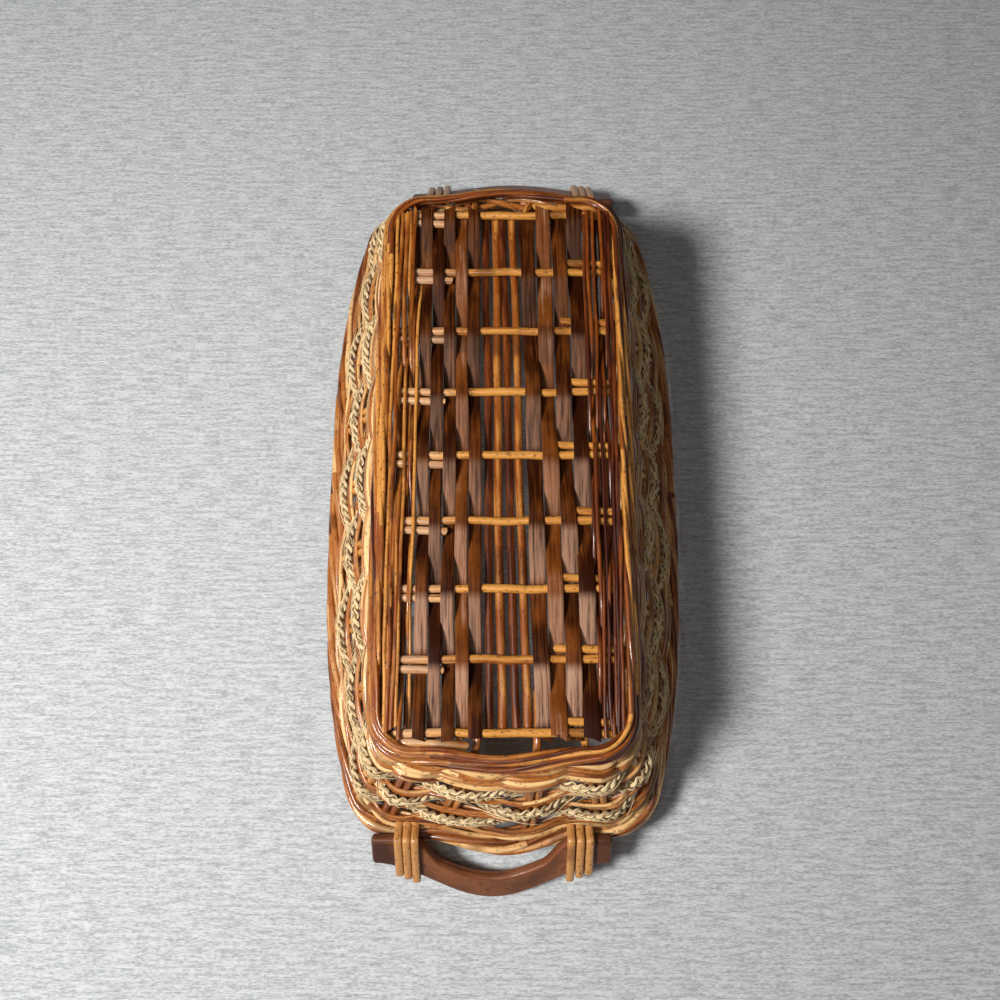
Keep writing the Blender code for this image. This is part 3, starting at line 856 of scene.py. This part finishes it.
def cross_stake_strands(y, rng):
    """The stake over the base and down both walls, and its two by-stakes, cut off a way in."""
    s = sizes()
    height = base_height()
    right, left = side_turns(y)
    halves = []
    strands = []
    tone = rng.uniform(0.72, 0.98)
    for turns, side in ((right, 1), (left, -1)):
        inner = abs(base_plan().points(turns[0])[0]) - s.bend_setback
        wall = stake_line(turns, 0.0, [STAKE_START * wall_length(), stake_top_place()])
        halves.append(np.concatenate([[[side * inner, y, height]], wall]))
        beside = stake_line(turns, s.pair_pitch, [STAKE_START * wall_length(), stake_top_place()])
        edge = abs(beside[0][0]) - s.bend_setback
        reach = s.bystake_reach * rng.uniform(0.85, 1.1)
        out = y + side * s.pair_pitch
        end = [side * (edge - reach), out + side * rng.uniform(0.0006, 0.0016), height + 0.0004]
        path = rounded([end, [side * edge, out, height], *beside], s.bend_radius)
        radius = s.stake_radius * (1 + 0.05 * np.sin(np.linspace(0, 9, len(path))))
        slant = side * rng.uniform(0.5, 1.3)
        by_tone = tone * rng.uniform(0.85, 1.05)
        # Painted highlight, in the cut colour, on the by-stakes' ends near the -X edge.
        end_highlight = painted_end_highlight(path, 0.7)
        by_stake = strand(path, (0, 1, 0), radius, radius, by_tone, 10, cut=(slant, 0), cut_and_highlight=end_highlight)
        strands.append(by_stake)
    path = rounded(np.concatenate([halves[0][::-1], halves[1]]), s.bend_radius)
    runs = run_lengths(path)
    flat = np.clip((path[:, 2] - height + 0.002) / 0.002, 0, 1)
    path[:, 2] += wander(runs, 0.0003, rng) * flat
    path[:, 1] += wander(runs, 0.0005, rng) * flat
    radius = s.stake_radius * (1.05 + wander(runs, 0.07, rng, 0.09))
    # The stake gets the same painted highlight near the -X edge.
    strands.append(strand(path, (0, 1, 0), radius, radius, tone, 12, cut_and_highlight=painted_end_highlight(path, 0.55)))
    return strands


def end_stake_strands(shares, end, rng):
    """The stake from inside the base down the short wall, and the by-stake beside it."""
    s = sizes()
    turns = end_turns(shares, end)
    x = -end * shares[0] * s.base_width
    layer = base_height() - 2 * s.stake_radius - s.splint_thickness - 0.0010
    edge = abs(base_plan().points(turns[0])[1]) - s.bend_setback
    start = [x, end * (edge - s.end_stake_reach * rng.uniform(0.8, 1.0)), layer]
    wall = stake_line(turns, 0.0, [END_STAKE_START * wall_length(), stake_top_place()])
    path = rounded([start, [x, end * edge, layer], *wall], s.bend_radius * 0.8)
    tone = rng.uniform(0.4, 0.75)
    radius = s.stake_radius * (1 + wander(run_lengths(path), 0.06, rng))
    slant = rng.choice([-1, 1]) * rng.uniform(0.6, 1.4)
    places = np.linspace(END_BYSTAKE_START * wall_length(), stake_top_place(), 8)
    by_path = rounded(stake_line(turns, s.pair_pitch, places), 0.002)
    return [
        strand(path, (1, 0, 0), radius, radius, tone, 12, cut=(slant, 0)),
        strand(by_path, (1, 0, 0), s.stake_radius, s.stake_radius, tone * 0.9, 10, cut=(0.8, 0)),
    ]


def lane_drift(x, y):
    """How far a lane has moved to the right at y. Lanes slant a little, by one less the square of
    their place across, so the least at the base's edge."""
    s = sizes()
    across = np.clip(1 - (x / (0.46 * s.base_width)) ** 2, 0, 1)
    return -s.lane_slant * across * (1.0 + 0.35 * np.sign(x)) * y / (s.base_length / 2)


def base_weave(y, sides, clear):
    """Height of a strand over the base's middle at y: over or under each row as sides say."""
    places = rows()
    spacing = places[0] - places[1]
    stations = np.clip((places[0] - y) / spacing, -0.49, len(places) - 0.51)
    return clear * weave(stations + 2, np.pad(sides, 2, "edge"))


def splint_strands(x, width, number, rng):
    """A flat splint along the base. Its slopes that fall towards the near end carry a painted sheen,
    a paler colour that stands for the light's reflection, the more so the nearer they are."""
    s = sizes()
    first_side = 1 if number % 2 else -1
    end = s.base_length / 2 - 0.0015
    y = np.linspace(end * rng.uniform(0.985, 1.0), -end * rng.uniform(0.985, 1.0), 420)
    clear = s.stake_radius + s.splint_thickness / 2 + PLAY
    height = base_weave(y, first_side * (-1.0) ** np.arange(s.row_count), clear)
    drift = wander(y, 0.0007, rng, 0.2) + lane_drift(x, y)
    path = np.stack([x + drift, y, base_height() + height], -1)
    half_width = width / 2 * (1.04 + wander(y, 0.08, rng, 0.12))
    tilt = wander(y, 0.10, rng, 0.15)
    towards = np.stack([tilt, np.zeros_like(y), np.ones_like(y)], -1)
    # Painted sheen: slopes that fall towards the near end, which would reflect the light, get the
    # pale colour, more strongly towards the near end.
    sheen_slope = np.clip(np.gradient(height, y) * s.row_count * 0.9, 0, 1)
    near = np.clip(0.5 - 1.3 * y / s.base_length, 0.12, 1)
    near_slope_sheen = sheen_slope * near * rng.uniform(0.55, 0.95)
    slants = (rng.uniform(-0.9, 0.9), rng.uniform(-0.9, 0.9))
    made = strand(
        path,
        towards,
        half_width,
        s.splint_thickness / 2,
        rng.uniform(0.05, 0.45),
        12,
        box=0.55,
        cut=slants,
        cut_and_highlight=near_slope_sheen,
    )
    made["cut_and_highlight"][-2:] = 0.4
    return [made]


def base_rod_strands(x, tone, rng):
    """A straight thin rod inside all the cross stakes, a little uneven."""
    s = sizes()
    end = s.base_length / 2 - s.bend_setback - s.stake_radius
    y = np.linspace(end, -end, 160)
    thick = s.rod_radius * rng.uniform(1.2, 1.42)
    layer = base_height() - s.stake_radius - thick - PLAY
    across = x + wander(y, 0.0008, rng, 0.25) + lane_drift(x, y)
    path = np.stack([across, y, np.full_like(y, layer)], -1)
    radius = thick * (1 + wander(y, 0.08, rng, 0.08))
    return [strand(path, (0, 0, 1), radius, radius, tone, 10, cut=(0.7, -0.7))]


def edge_weaver_strands(x, rng):
    """Two thin rods side by side along the base's long edge, over most of the rows. Those on the -X
    side, towards the key light, are paler and those on the +X side darker: painted light and painted
    shade."""
    s = sizes()
    strands = []
    for beside in (-1, 1):
        start = rows()[0] + rng.uniform(-0.004, 0.004)
        end = rows()[-1] - rng.uniform(-0.004, 0.004)
        y = np.linspace(start, end, 440)
        radius = s.rod_radius * rng.uniform(0.52, 0.74)
        sides = np.where(rng.random(s.row_count) < 0.64, 1.0, -1.0)
        height = base_weave(y, sides, s.stake_radius + radius + 0.0002)
        slant = rng.uniform(-0.0012, 0.0022) * -math.copysign(1, x) * y / (s.base_length / 2)
        across = x + beside * s.rod_radius * 0.58 + wander(y, 0.0007, rng, 0.15) + slant
        path = np.stack([across, y, base_height() + height], -1)
        girth = radius * (1 + wander(y, 0.08, rng, 0.1))
        # Painted light: paler tones on the -X side towards the light, darker ones on the shaded +X
        # side.
        tone = rng.uniform(0.5, 1.0) if x < 0 else rng.uniform(0.0, 0.45)
        strands.append(strand(path, (0, 0, 1), girth, girth, tone, 8, cut=(1, -1)))
    return strands


def ring_stations(rounds=1, samples=40):
    """Even steps round the wall, in stake pairs, over whole rounds, without the closing point."""
    count = len(stakes_in_order()[0]) * rounds
    return np.linspace(0, count, count * samples, endpoint=False)


def lap_tones(stations, laps, low, high, rng):
    """A tone that changes a few times round the ring, as one cane ends and the next goes on."""
    count = len(stakes_in_order()[0])
    lap = ((stations + rng.uniform(0, 9)) // (count / laps)).astype(int)
    return rng.uniform(low, high, lap.max() + 1)[lap]


def twined_strands(place, radius, rng, first=0.0, spread=1.3):
    """Two thin strands twined round the stake pairs: off the wall by a cosine of the way round and
    along it by the sine, half a turn to each pair, with the second strand half a turn behind. Both
    give way to the braids beside them, which are outside at one pair and inside at the next."""
    s = sizes()
    stations = ring_stations()
    count = len(stakes_in_order()[0])
    shift = 0.0
    for braid, side in BRAIDS:
        if abs(place - braid) < 0.009:
            outside = weave(stations, side * (-1.0) ** np.arange(count))
            shift = shift + math.copysign(0.001, place - braid) * (1 - outside)
    clear = 0.65 * (s.stake_radius + radius)
    strands = []
    for behind in (0.0, math.pi):
        angle = math.pi * stations + behind + first
        places = place + shift + spread * radius * np.sin(angle)
        places = places + round_wander(stations, 0.0008, rng)
        square = np.cos(angle) * (1.25 - 0.25 * np.cos(angle) ** 2)
        path, outward = ring_points(stations, places, clear * square)
        girth = radius * (1 + round_wander(stations, 0.14, rng))
        tones = lap_tones(stations, 5, 0.38, 1.05, rng)
        strands.append(strand(path, outward, girth, girth, tones, 8, closed=True))
    return strands


def braid_mate_strands(place, below, first_side, rng):
    """A thin strand along one edge of a braid, woven the other way, so that the stake pair stays in
    view where the braid is inside."""
    s = sizes()
    stations = ring_stations()
    count = len(stakes_in_order()[0])
    sides = first_side * (-1.0) ** np.arange(count)
    radius = s.weaver_radius * rng.uniform(0.85, 1.0)
    weaving = weave(stations, sides)
    beside = s.braid_width / 2 + 0.0012 + 0.0012 * weaving
    places = place + below * beside + round_wander(stations, 0.0005, rng)
    clear = 0.7 * (s.stake_radius + radius)
    path, outward = ring_points(stations, places, clear * weaving)
    girth = radius * (1 + round_wander(stations, 0.14, rng))
    tones = lap_tones(stations, 4, 0.2, 1.0, rng)
    return [strand(path, outward, girth, girth, tones, 8, closed=True)]


def wale_strands(place, radius, rng, inside_every=3, rise=1.2):
    """Strands that follow each other: each passes outside all stake pairs but one in inside_every,
    and moves along the wall by a sine. They are one strand that closes after that many rounds."""
    stations = ring_stations(rounds=inside_every, samples=30)
    count = len(stakes_in_order()[0])
    sides = np.where(np.arange(count * inside_every) % inside_every == 0, -1.0, 1.0)
    clear = 0.65 * (sizes().stake_radius + radius)
    turn = 2 * math.pi * stations / inside_every
    places = place - rise * radius * np.sin(turn) + round_wander(stations, 0.0006, rng)
    path, outward = ring_points(stations, places, clear * weave(stations, sides))
    tones = lap_tones(stations, 5, 0.2, 1.0, rng)
    girth = radius * (0.9 + round_wander(stations, 0.12, rng))
    return [strand(path, outward, girth, girth, tones, 9, closed=True)]


def braid_strands(place, first_side, rng, period=0.017, blades=3):
    """A flat plait of three bundles, woven round the stake pairs. A bundle's place in the plait is
    the sine of its phase across it and the sine of twice its phase through it, and the three phases
    lie a third apart. Each bundle is a few flat blades side by side."""
    s = sizes()
    stations = ring_stations(samples=44)
    count = len(stakes_in_order()[0])
    sides = first_side * (-1.0) ** np.arange(count)
    clear = s.stake_radius + s.braid_thickness / 2 + PLAY
    lifts = clear * weave(stations, sides)
    middle, outward = ring_points(stations, np.full(len(stations), place), lifts)
    runs = run_lengths(middle)
    turns = round(runs[-1] / period)
    phase = 2 * math.pi * turns * runs / (runs[-1] + np.linalg.norm(middle[0] - middle[-1]))
    blade_half = s.braid_width / 16
    swing = s.braid_width / 2 - blades * blade_half
    strands = []
    for bundle in range(3):
        angle = phase + 2 * math.pi * bundle / 3
        over = (s.braid_thickness / 2 - 0.0014) * np.sin(2 * angle)
        for blade in range(blades):
            spread = (blade - (blades - 1) / 2) * 2.1 * blade_half
            places = place + swing * np.sin(angle) + spread + round_wander(stations, 0.0003, rng)
            crown = 0.0004 * (1 - abs(blade - (blades - 1) / 2))
            path, outward = ring_points(stations, places, lifts + over + crown)
            thick = 0.0006 * (1 + round_wander(stations, 0.25, rng))
            tone = rng.uniform(0.0, 1.0)
            strands.append(strand(path, outward, blade_half, thick, tone, 6, closed=True, box=0.8))
    return strands


def loose_fibres(place, first_side, rng, amount=150):
    """Short broken fibres that spring from a braid's blades and curl away from the wall."""
    s = sizes()
    count = len(stakes_in_order()[0])
    sides = first_side * (-1.0) ** np.arange(count)
    clear = s.stake_radius + s.braid_thickness / 2
    strands = []
    for _ in range(amount):
        start = rng.uniform(0, count)
        reach = rng.uniform(0.2, 0.7) * rng.choice([-1, 1])
        stations = start + reach * np.linspace(0, 1, 9)
        way = np.linspace(0, 1, 9)
        drift = rng.uniform(-0.005, 0.005)
        lift = clear * weave(stations, sides) + s.braid_thickness / 2 - 0.0006
        lift = lift + rng.uniform(0.0006, 0.0045) * way**2
        start_place = place + rng.uniform(-0.4, 0.4) * s.braid_width
        path = ring_points(stations, start_place + drift * way, lift)[0]
        thick = 0.00034 * (1.15 - way)
        strands.append(strand(path, (0, 0, 1), thick, thick, rng.uniform(0.3, 1.0), 5))
    return strands


def wound_strands(place, lift, radius, reach, depth, ply, twists, rng, core=0.0):
    """Canes wound slowly round each other along a ring on the wall. Each one's place about the
    ring's line is an oval whose angle grows evenly with the way round: reach along the wall, depth
    off it."""
    stations = ring_stations()
    level = np.ones(len(stations))
    middle, outward = ring_points(stations, place * level, lift * level)
    runs = run_lengths(middle)
    runs = runs / (runs[-1] + np.linalg.norm(middle[0] - middle[-1]))
    _, up, across = frames_along(middle, outward, True)
    strands = []
    for i in range(ply):
        angle = 2 * math.pi * (twists * runs + i / ply) + round_wander(stations, 0.35, rng)
        aside = up * (depth * np.cos(angle))[:, None] + across * (reach * np.sin(angle))[:, None]
        girth = radius * (1 + round_wander(stations, 0.12, rng))
        tones = lap_tones(stations, 6, 0.15, 1.0, rng)
        strands.append(strand(middle + aside, outward, girth, girth, tones, 10, closed=True))
    if core:
        strands.append(strand(middle, outward, core, core, 0.1, 8, closed=True))
    return strands


def border_strands(rng):
    """The border's canes, wound round a core along the rim's centre line and a little inside the
    solid's radius."""
    whole = sizes().rim_radius
    radius = whole * 0.33
    circle = whole * 0.94 - radius * 1.12
    return wound_strands(wall_length(), 0.0, radius, circle, circle, 7, 6, rng, circle)


def upsetting_strands(rng):
    """The canes outside all the stakes: some on the wall, thinner ones over the base's edge."""
    s = sizes()
    lift = s.stake_radius + 0.0030
    strands = wound_strands(0.0064, lift, 0.0017, 0.0041, 0.0010, 4, 6, rng)
    return strands + wound_strands(-0.0004, lift - 0.0010, 0.0014, 0.0027, 0.0010, 4, 5, rng)


def handle_matrix(end):
    """Carries a handle drawn flat, its bow towards +Y, to its place under the rim at one end."""
    s = sizes()
    place = Vector((end * s.handle_shift, end * rim_plan().half_length, rim_height()))
    facing = Matrix.Rotation(0 if end > 0 else math.pi, 4, "Z")
    return Matrix.Translation(place) @ facing @ Matrix.Rotation(-s.handle_lean, 4, "X")


def placed(points, matrix):
    return points @ np.array(matrix.to_3x3()).T + np.array(matrix.translation)


def bow_edge(x):
    """The bow's outer edge: it falls by a squared sine from its middle to its ends."""
    s = sizes()
    fall = np.sin(math.pi / 2 * x / s.handle_half_length) ** 2
    return s.handle_rim_place - s.handle_bow_depth * fall


def grip_edge(x):
    """The inner edge: a bar's width inside the bow, then a smooth step down to the feet."""
    s = sizes()
    foot = s.handle_rim_place - s.handle_bow_depth - s.handle_foot_width
    way = (np.abs(x) - s.handle_bar_flat) / (s.handle_foot_start - s.handle_bar_flat)
    way = np.clip(way, 0, 1)
    bar = bow_edge(x) - s.handle_bar_width
    return bar + (foot - bar) * way**2 * (3 - 2 * way)


def handle_strand(end, edge=0.0022):
    """The board: a rounded rectangle between the two edges, carried along the handle's length. At
    its ends it draws in by a quarter circle. Its tone is 1 along the bar and falls at the feet."""
    s = sizes()
    reach = s.handle_half_length - edge
    inner = np.linspace(-reach, reach, 141)
    turn_in = np.linspace(math.pi / 2, 0, 7)[:-1]
    past = edge * np.sin(turn_in)
    x = np.concatenate([-reach - past, inner, reach + past[::-1]])
    drawn_in = edge * (1 - np.cos(turn_in))
    drawn_in = np.concatenate([drawn_in, np.zeros(len(inner)), drawn_in[::-1]])
    at = np.clip(x, -reach, reach)
    out, into = bow_edge(at) - drawn_in, grip_edge(at) + drawn_in
    half_width, half_height = (out - into) / 2, s.handle_thickness / 2 - drawn_in
    radius = np.minimum(edge, half_height * 0.9)[:, None]
    corner = np.linspace(0, math.pi / 2, 5)
    angles = np.concatenate([k * math.pi / 2 + corner[[0, 0, 1, 2, 3, 4, 4]] for k in range(4)])
    wide = np.repeat([1, -1, -1, 1], 7)
    high = np.repeat([1, 1, -1, -1], 7)
    slide = np.zeros(28)
    slide[0::7], slide[6::7] = 1, -1
    slide_y = -np.sin(angles) * slide * 0.0009
    slide_z = np.cos(angles) * slide * 0.0009
    y = ((out + into) / 2)[:, None] + wide * (half_width[:, None] - radius)
    y = y + radius * np.cos(angles)
    z = high * (half_height[:, None] - radius) + radius * np.sin(angles)
    y, z = y - slide_y, z - slide_z
    z = z + s.rim_radius + s.handle_seat + s.handle_thickness / 2
    points = np.stack([np.broadcast_to(x[:, None], y.shape), y, z], -1)
    # The board's tone falls from 50 mm out, so it is darker over its feet.
    tone = 1 - np.clip((np.abs(x) - 0.050) / 0.016, 0, 1)
    girth = 2 * (s.handle_bar_width + s.handle_thickness)
    return skin(placed(points, handle_matrix(end)), x - x[0], girth, tone, 0.0)


def lashing_strand(end, places, tone):
    """Half-round cane wound round the border and the board's foot: straight over the board's face
    at each place, then half a circle round the border, on which it steps to the next place."""
    s = sizes()
    stand_off = s.lashing_thickness / 2 + 0.0002
    foot = s.handle_rim_place - s.handle_bow_depth - s.handle_foot_width - stand_off
    bottom = s.rim_radius + s.handle_seat
    top = bottom + s.handle_thickness + stand_off
    circle = s.rim_radius + stand_off + PLAY
    half_turn = np.linspace(0, math.pi, 13)
    matrix = handle_matrix(end)
    drawn = [end * (x - matrix.translation.x) for x in places]
    points = [(drawn[0], -circle, 0)]
    for x, next_x in zip(drawn, drawn[1:] + drawn[-1:]):
        outer = bow_edge(max(0.0, abs(x) - s.lashing_width / 2)) + stand_off
        points += [(x, foot, bottom), (x, foot, top), (x, outer, top), (x, outer, bottom)]
        across = np.linspace(x, next_x, len(half_turn))
        points += zip(across, circle * np.cos(half_turn), -circle * np.sin(half_turn))
    path = rounded(np.array(points[:-6]), 0.0024, 0.0007)
    across = placed(np.array([[1.0, 0, 0]]), matrix)[0] - np.array(matrix.translation)
    width, height = s.lashing_thickness / 2, s.lashing_width / 2
    return strand(placed(path, matrix), across, width, height, tone, 12, box=0.75)


class WICKER_OT_cross_stakes(Operator):
    """Canes across the base and down both long walls, with a by-stake at each end"""

    bl_idname = "wicker.cross_stakes"
    bl_label = "Cross stakes"

    def execute(self, context):
        for number, y in enumerate(rows(), 1):
            strands = cross_stake_strands(float(y), np.random.default_rng(number))
            node = f"cross_stake_{number}"
            name = f"cross_canes_{number}"
            add_piece(name, strands, cane_material(), "basket", (node,))
        return {"FINISHED"}


class WICKER_OT_end_stakes(Operator):
    """Canes from inside the base down the short walls, in pairs"""

    bl_idname = "wicker.end_stakes"
    bl_label = "End stakes"

    def execute(self, context):
        for end, end_name in ((1, "far"), (-1, "near")):
            for number, shares in enumerate(END_STAKE_SHARES, 1):
                rng = np.random.default_rng(40 + 10 * end + number)
                strands = end_stake_strands(shares, end, rng)
                node = f"{end_name}_end_stake_{number}"
                name = f"{end_name}_end_canes_{number}"
                add_piece(name, strands, cane_material(), "basket", (node,))
        return {"FINISHED"}


class WICKER_OT_splints(Operator):
    """Flat dark splints woven along the base"""

    bl_idname = "wicker.splints"
    bl_label = "Base splints"

    def execute(self, context):
        for number, (x, width) in enumerate(lane_places("splint", "narrow"), 1):
            strands = splint_strands(x, width, number, np.random.default_rng(60 + number))
            node = f"base_splint_{number}"
            name = f"splint_strip_{number}"
            add_piece(name, strands, splint_material(), "basket", (node,))
        return {"FINISHED"}


def side_cane_strands(side, rng):
    """Thin canes along one long side of the base: two over the rows' ends beside the upsetting, and
    dark ones inside the rows under the edge rods. Those over the rows on the -X side, towards the
    light, get a painted lighter tone; the rest get darker tones, painted shade."""
    s = sizes()
    half = s.base_width / 2
    y = np.linspace(rows()[0], rows()[-1], 200)
    strands = []
    for inset, over in ((0.0008, 1), (0.0031, 1), (0.0058, -1), (0.0096, -1), (0.0136, -1)):
        radius = s.rod_radius * rng.uniform(0.62, 0.8)
        bowed = base_plan().side_bow * (y / y[0]) ** 2 if over > 0 else 0.0
        x = side * (half - inset - bowed) + wander(y, 0.0007, rng, 0.12)
        level = over * (s.stake_radius + radius + PLAY)
        path = np.stack([x, y, base_height() + level + wander(y, 0.0003, rng)], -1)
        # Painted light and shade: a lighter tone only over the rows on the lit -X side, darker on the
        # shaded +X side and under the edge rods.
        tone = rng.uniform(0.35, 1.0) if over > 0 and side < 0 else rng.uniform(0.0, 0.45)
        girth = radius * (1 + wander(y, 0.1, rng, 0.1))
        strands.append(strand(path, (0, 0, 1), girth, girth, tone, 8, cut=(1, -1)))
    return strands


class WICKER_OT_base_rods(Operator):
    """Thin rods along the base, those inside it and those woven along its long edges"""

    bl_idname = "wicker.base_rods"
    bl_label = "Base rods"

    def execute(self, context):
        for number, (x, _) in enumerate(lane_places("rod"), 1):
            tone = 0.58 if number % 2 == 0 else 0.22
            strands = base_rod_strands(x, tone, np.random.default_rng(80 + number))
            node = f"base_rod_{number}"
            name = f"inner_rod_{number}"
            add_piece(name, strands, cane_material(), "basket", (node,))
        for side, side_name in ((-1, "left"), (1, "right")):
            strands = side_cane_strands(side, np.random.default_rng(86 + side))
            add_piece(f"{side_name}_side_canes", strands, cane_material(), "basket")
        for number, (x, _) in enumerate(lane_places("edge"), 1):
            strands = edge_weaver_strands(x, np.random.default_rng(90 + number))
            node = f"edge_weaver_{number}"
            name = f"edge_rod_{number}"
            add_piece(name, strands, cane_material(), "basket", (node,))
        return {"FINISHED"}


class WICKER_OT_upsetting(Operator):
    """The strands that bind the stakes where they turn down into the wall"""

    bl_idname = "wicker.upsetting"
    bl_label = "Upsetting"

    def execute(self, context):
        strands = upsetting_strands(np.random.default_rng(101))
        nodes = ("upset_wale_1",)
        add_piece("upset_canes_1", strands, cane_material(), "basket", nodes)
        radius = sizes().wale_radius
        for number, place in enumerate(UPSET_PLACES, 2):
            rng = np.random.default_rng(100 + number)
            strands = twined_strands(place, radius, rng, math.pi * number, 1.1)
            name, node = f"upset_canes_{number}", f"upset_wale_{number}"
            add_piece(name, strands, weaver_material(), "basket", (node,))
        return {"FINISHED"}


class WICKER_OT_weavers(Operator):
    """Thin canes woven round the wall, between the braids"""

    bl_idname = "wicker.weavers"
    bl_label = "Wall weavers"

    def execute(self, context):
        radius = sizes().weaver_radius
        for number, place in enumerate(WEAVER_PLACES, 1):
            rng = np.random.default_rng(110 + number)
            if number < 6:
                girth, spread = (1.25 * radius, 0.75) if number < 4 else (radius, 1.35)
                strands = twined_strands(place, girth, rng, math.pi * number, spread)
            else:
                strands = wale_strands(place, radius, rng)
            node = f"weaver_{number}"
            name = f"weaver_cane_{number}"
            add_piece(name, strands, weaver_material(), "basket", (node,))
        rng = np.random.default_rng(118)
        strands = twined_strands(FOOT_PLACE, radius * 1.1, rng, 0.0, 1.6)
        add_piece("foot_canes", strands, weaver_material(), "basket")
        return {"FINISHED"}


class WICKER_OT_braids(Operator):
    """Seagrass braids woven round the wall, with their loose fibres"""

    bl_idname = "wicker.braids"
    bl_label = "Seagrass braids"

    def execute(self, context):
        for number, (place, side) in enumerate(BRAIDS, 1):
            rng = np.random.default_rng(120 + number)
            beside = [
                thin
                for below in (-1, 1)
                for thin in braid_mate_strands(place, below, -side, rng)
            ]
            add_piece(f"braid_mates_{number}", beside, weaver_material(), "basket")
            strands = braid_strands(place, side, rng)
            node = f"braid_{number}"
            material = seagrass_material()
            add_piece(f"braid_blades_{number}", strands, material, "basket", (node,))
            fibres = loose_fibres(place, side, rng)
            add_piece(f"braid_fibres_{number}", fibres, material, "basket")
        return {"FINISHED"}


class WICKER_OT_border(Operator):
    """The wound canes of the rim's border"""

    bl_idname = "wicker.border"
    bl_label = "Border"

    def execute(self, context):
        strands = border_strands(np.random.default_rng(130))
        add_piece("border_canes", strands, weaver_material(), "basket", ("rim_border",))
        return {"FINISHED"}


class WICKER_OT_handles(Operator):
    """The bowed boards at both ends, each with two cane lashings"""

    bl_idname = "wicker.handles"
    bl_label = "Handles"

    def execute(self, context):
        for end, end_name in ((1, "far"), (-1, "near")):
            body = f"{end_name}_handle_body"
            board = [handle_strand(end)]
            node = f"{end_name}_handle"
            add_piece(f"{end_name}_board", board, handle_material(), body, (node,))
            for side in ("left", "right"):
                node = f"{end_name}_{side}_lashing"
                low, high = (corner[0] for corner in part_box(node))
                room = (high - low) / 6.2
                places = np.linspace(low + room, high - room, 3)
                rng = np.random.default_rng(140 + len(node))
                strands = [lashing_strand(end, list(places), rng.uniform(0.4, 0.8))]
                name = f"{end_name}_{side}_wraps"
                add_piece(name, strands, lashing_material(), body, (node,))
        return {"FINISHED"}


class WICKER_OT_stage(Operator):
    """A plain cloth floor, soft light from the left and a camera above the base"""

    bl_idname = "wicker.stage"
    bl_label = "Stage"

    def execute(self, context):
        mesh = bpy.data.meshes.new("stage_cloth")
        mesh.from_pydata([(-3, -3, 0), (3, -3, 0), (3, 3, 0), (-3, 3, 0)], [], [(0, 1, 2, 3)])
        mesh.materials.append(floor_material())
        floor = bpy.data.objects.new("stage_cloth", mesh)
        context.scene.collection.objects.link(floor)
        camera = bpy.data.objects.new("camera", bpy.data.cameras.new("camera"))
        camera.data.lens = 36
        camera.data.sensor_width = 36
        camera.location = (-0.002, -0.192, base_height() + 0.575)
        camera.rotation_euler = Euler((math.radians(15.9), 0, 0))
        context.scene.collection.objects.link(camera)
        context.scene.camera = camera
        for name, place, size, energy in (
            ("key_light", (-0.66, -0.31, 1.10), 0.26, 17.9),
            ("top_light", (-0.16, -0.34, 1.40), 0.4, 2.0),
        ):
            light = bpy.data.objects.new(name, bpy.data.lights.new(name, "AREA"))
            light.data.size = size
            light.data.energy = energy
            light.location = place
            light.rotation_euler = Vector(place).to_track_quat("Z", "Y").to_euler()
            context.scene.collection.objects.link(light)
        world = bpy.data.worlds.new("studio")
        world.use_nodes = True
        world.node_tree.nodes["Background"].inputs["Color"].default_value = (1.0, 1.0, 1.0, 1.0)
        world.node_tree.nodes["Background"].inputs["Strength"].default_value = 0.02
        context.scene.world = world
        context.scene.view_settings.view_transform = "Standard"
        return {"FINISHED"}


OPERATORS = (
    WICKER_OT_cross_stakes,
    WICKER_OT_end_stakes,
    WICKER_OT_splints,
    WICKER_OT_base_rods,
    WICKER_OT_upsetting,
    WICKER_OT_weavers,
    WICKER_OT_braids,
    WICKER_OT_border,
    WICKER_OT_handles,
    WICKER_OT_stage,
)


class VIEW3D_PT_wicker(Panel):
    """The basket's pieces and its sizes and colours"""

    bl_label = "Wine Bottle Basket"
    bl_space_type = "VIEW_3D"
    bl_region_type = "UI"
    bl_category = "Wicker"

    def draw(self, context):
        for operator in OPERATORS:
            self.layout.operator(operator.bl_idname)
        for group in (context.scene.wicker_sizes, context.scene.wicker_colours):
            column = self.layout.column()
            for name in group.__annotations__:
                column.prop(group, name)


CLASSES = (WickerSizes, WickerColours, *OPERATORS, VIEW3D_PT_wicker)


def register():
    for made in CLASSES:
        bpy.utils.register_class(made)
    bpy.types.Scene.wicker_sizes = PointerProperty(type=WickerSizes)
    bpy.types.Scene.wicker_colours = PointerProperty(type=WickerColours)


def unregister():
    del bpy.types.Scene.wicker_sizes
    del bpy.types.Scene.wicker_colours
    for made in reversed(CLASSES):
        bpy.utils.unregister_class(made)


def main():
    register()
    for operator in OPERATORS:
        name = operator.bl_idname.split(".")[1]
        if getattr(bpy.ops.wicker, name)() != {"FINISHED"}:
            raise RuntimeError(f"{name} didn't finish")
    bpy.context.view_layer.update()


if __name__ == "__main__":
    main()
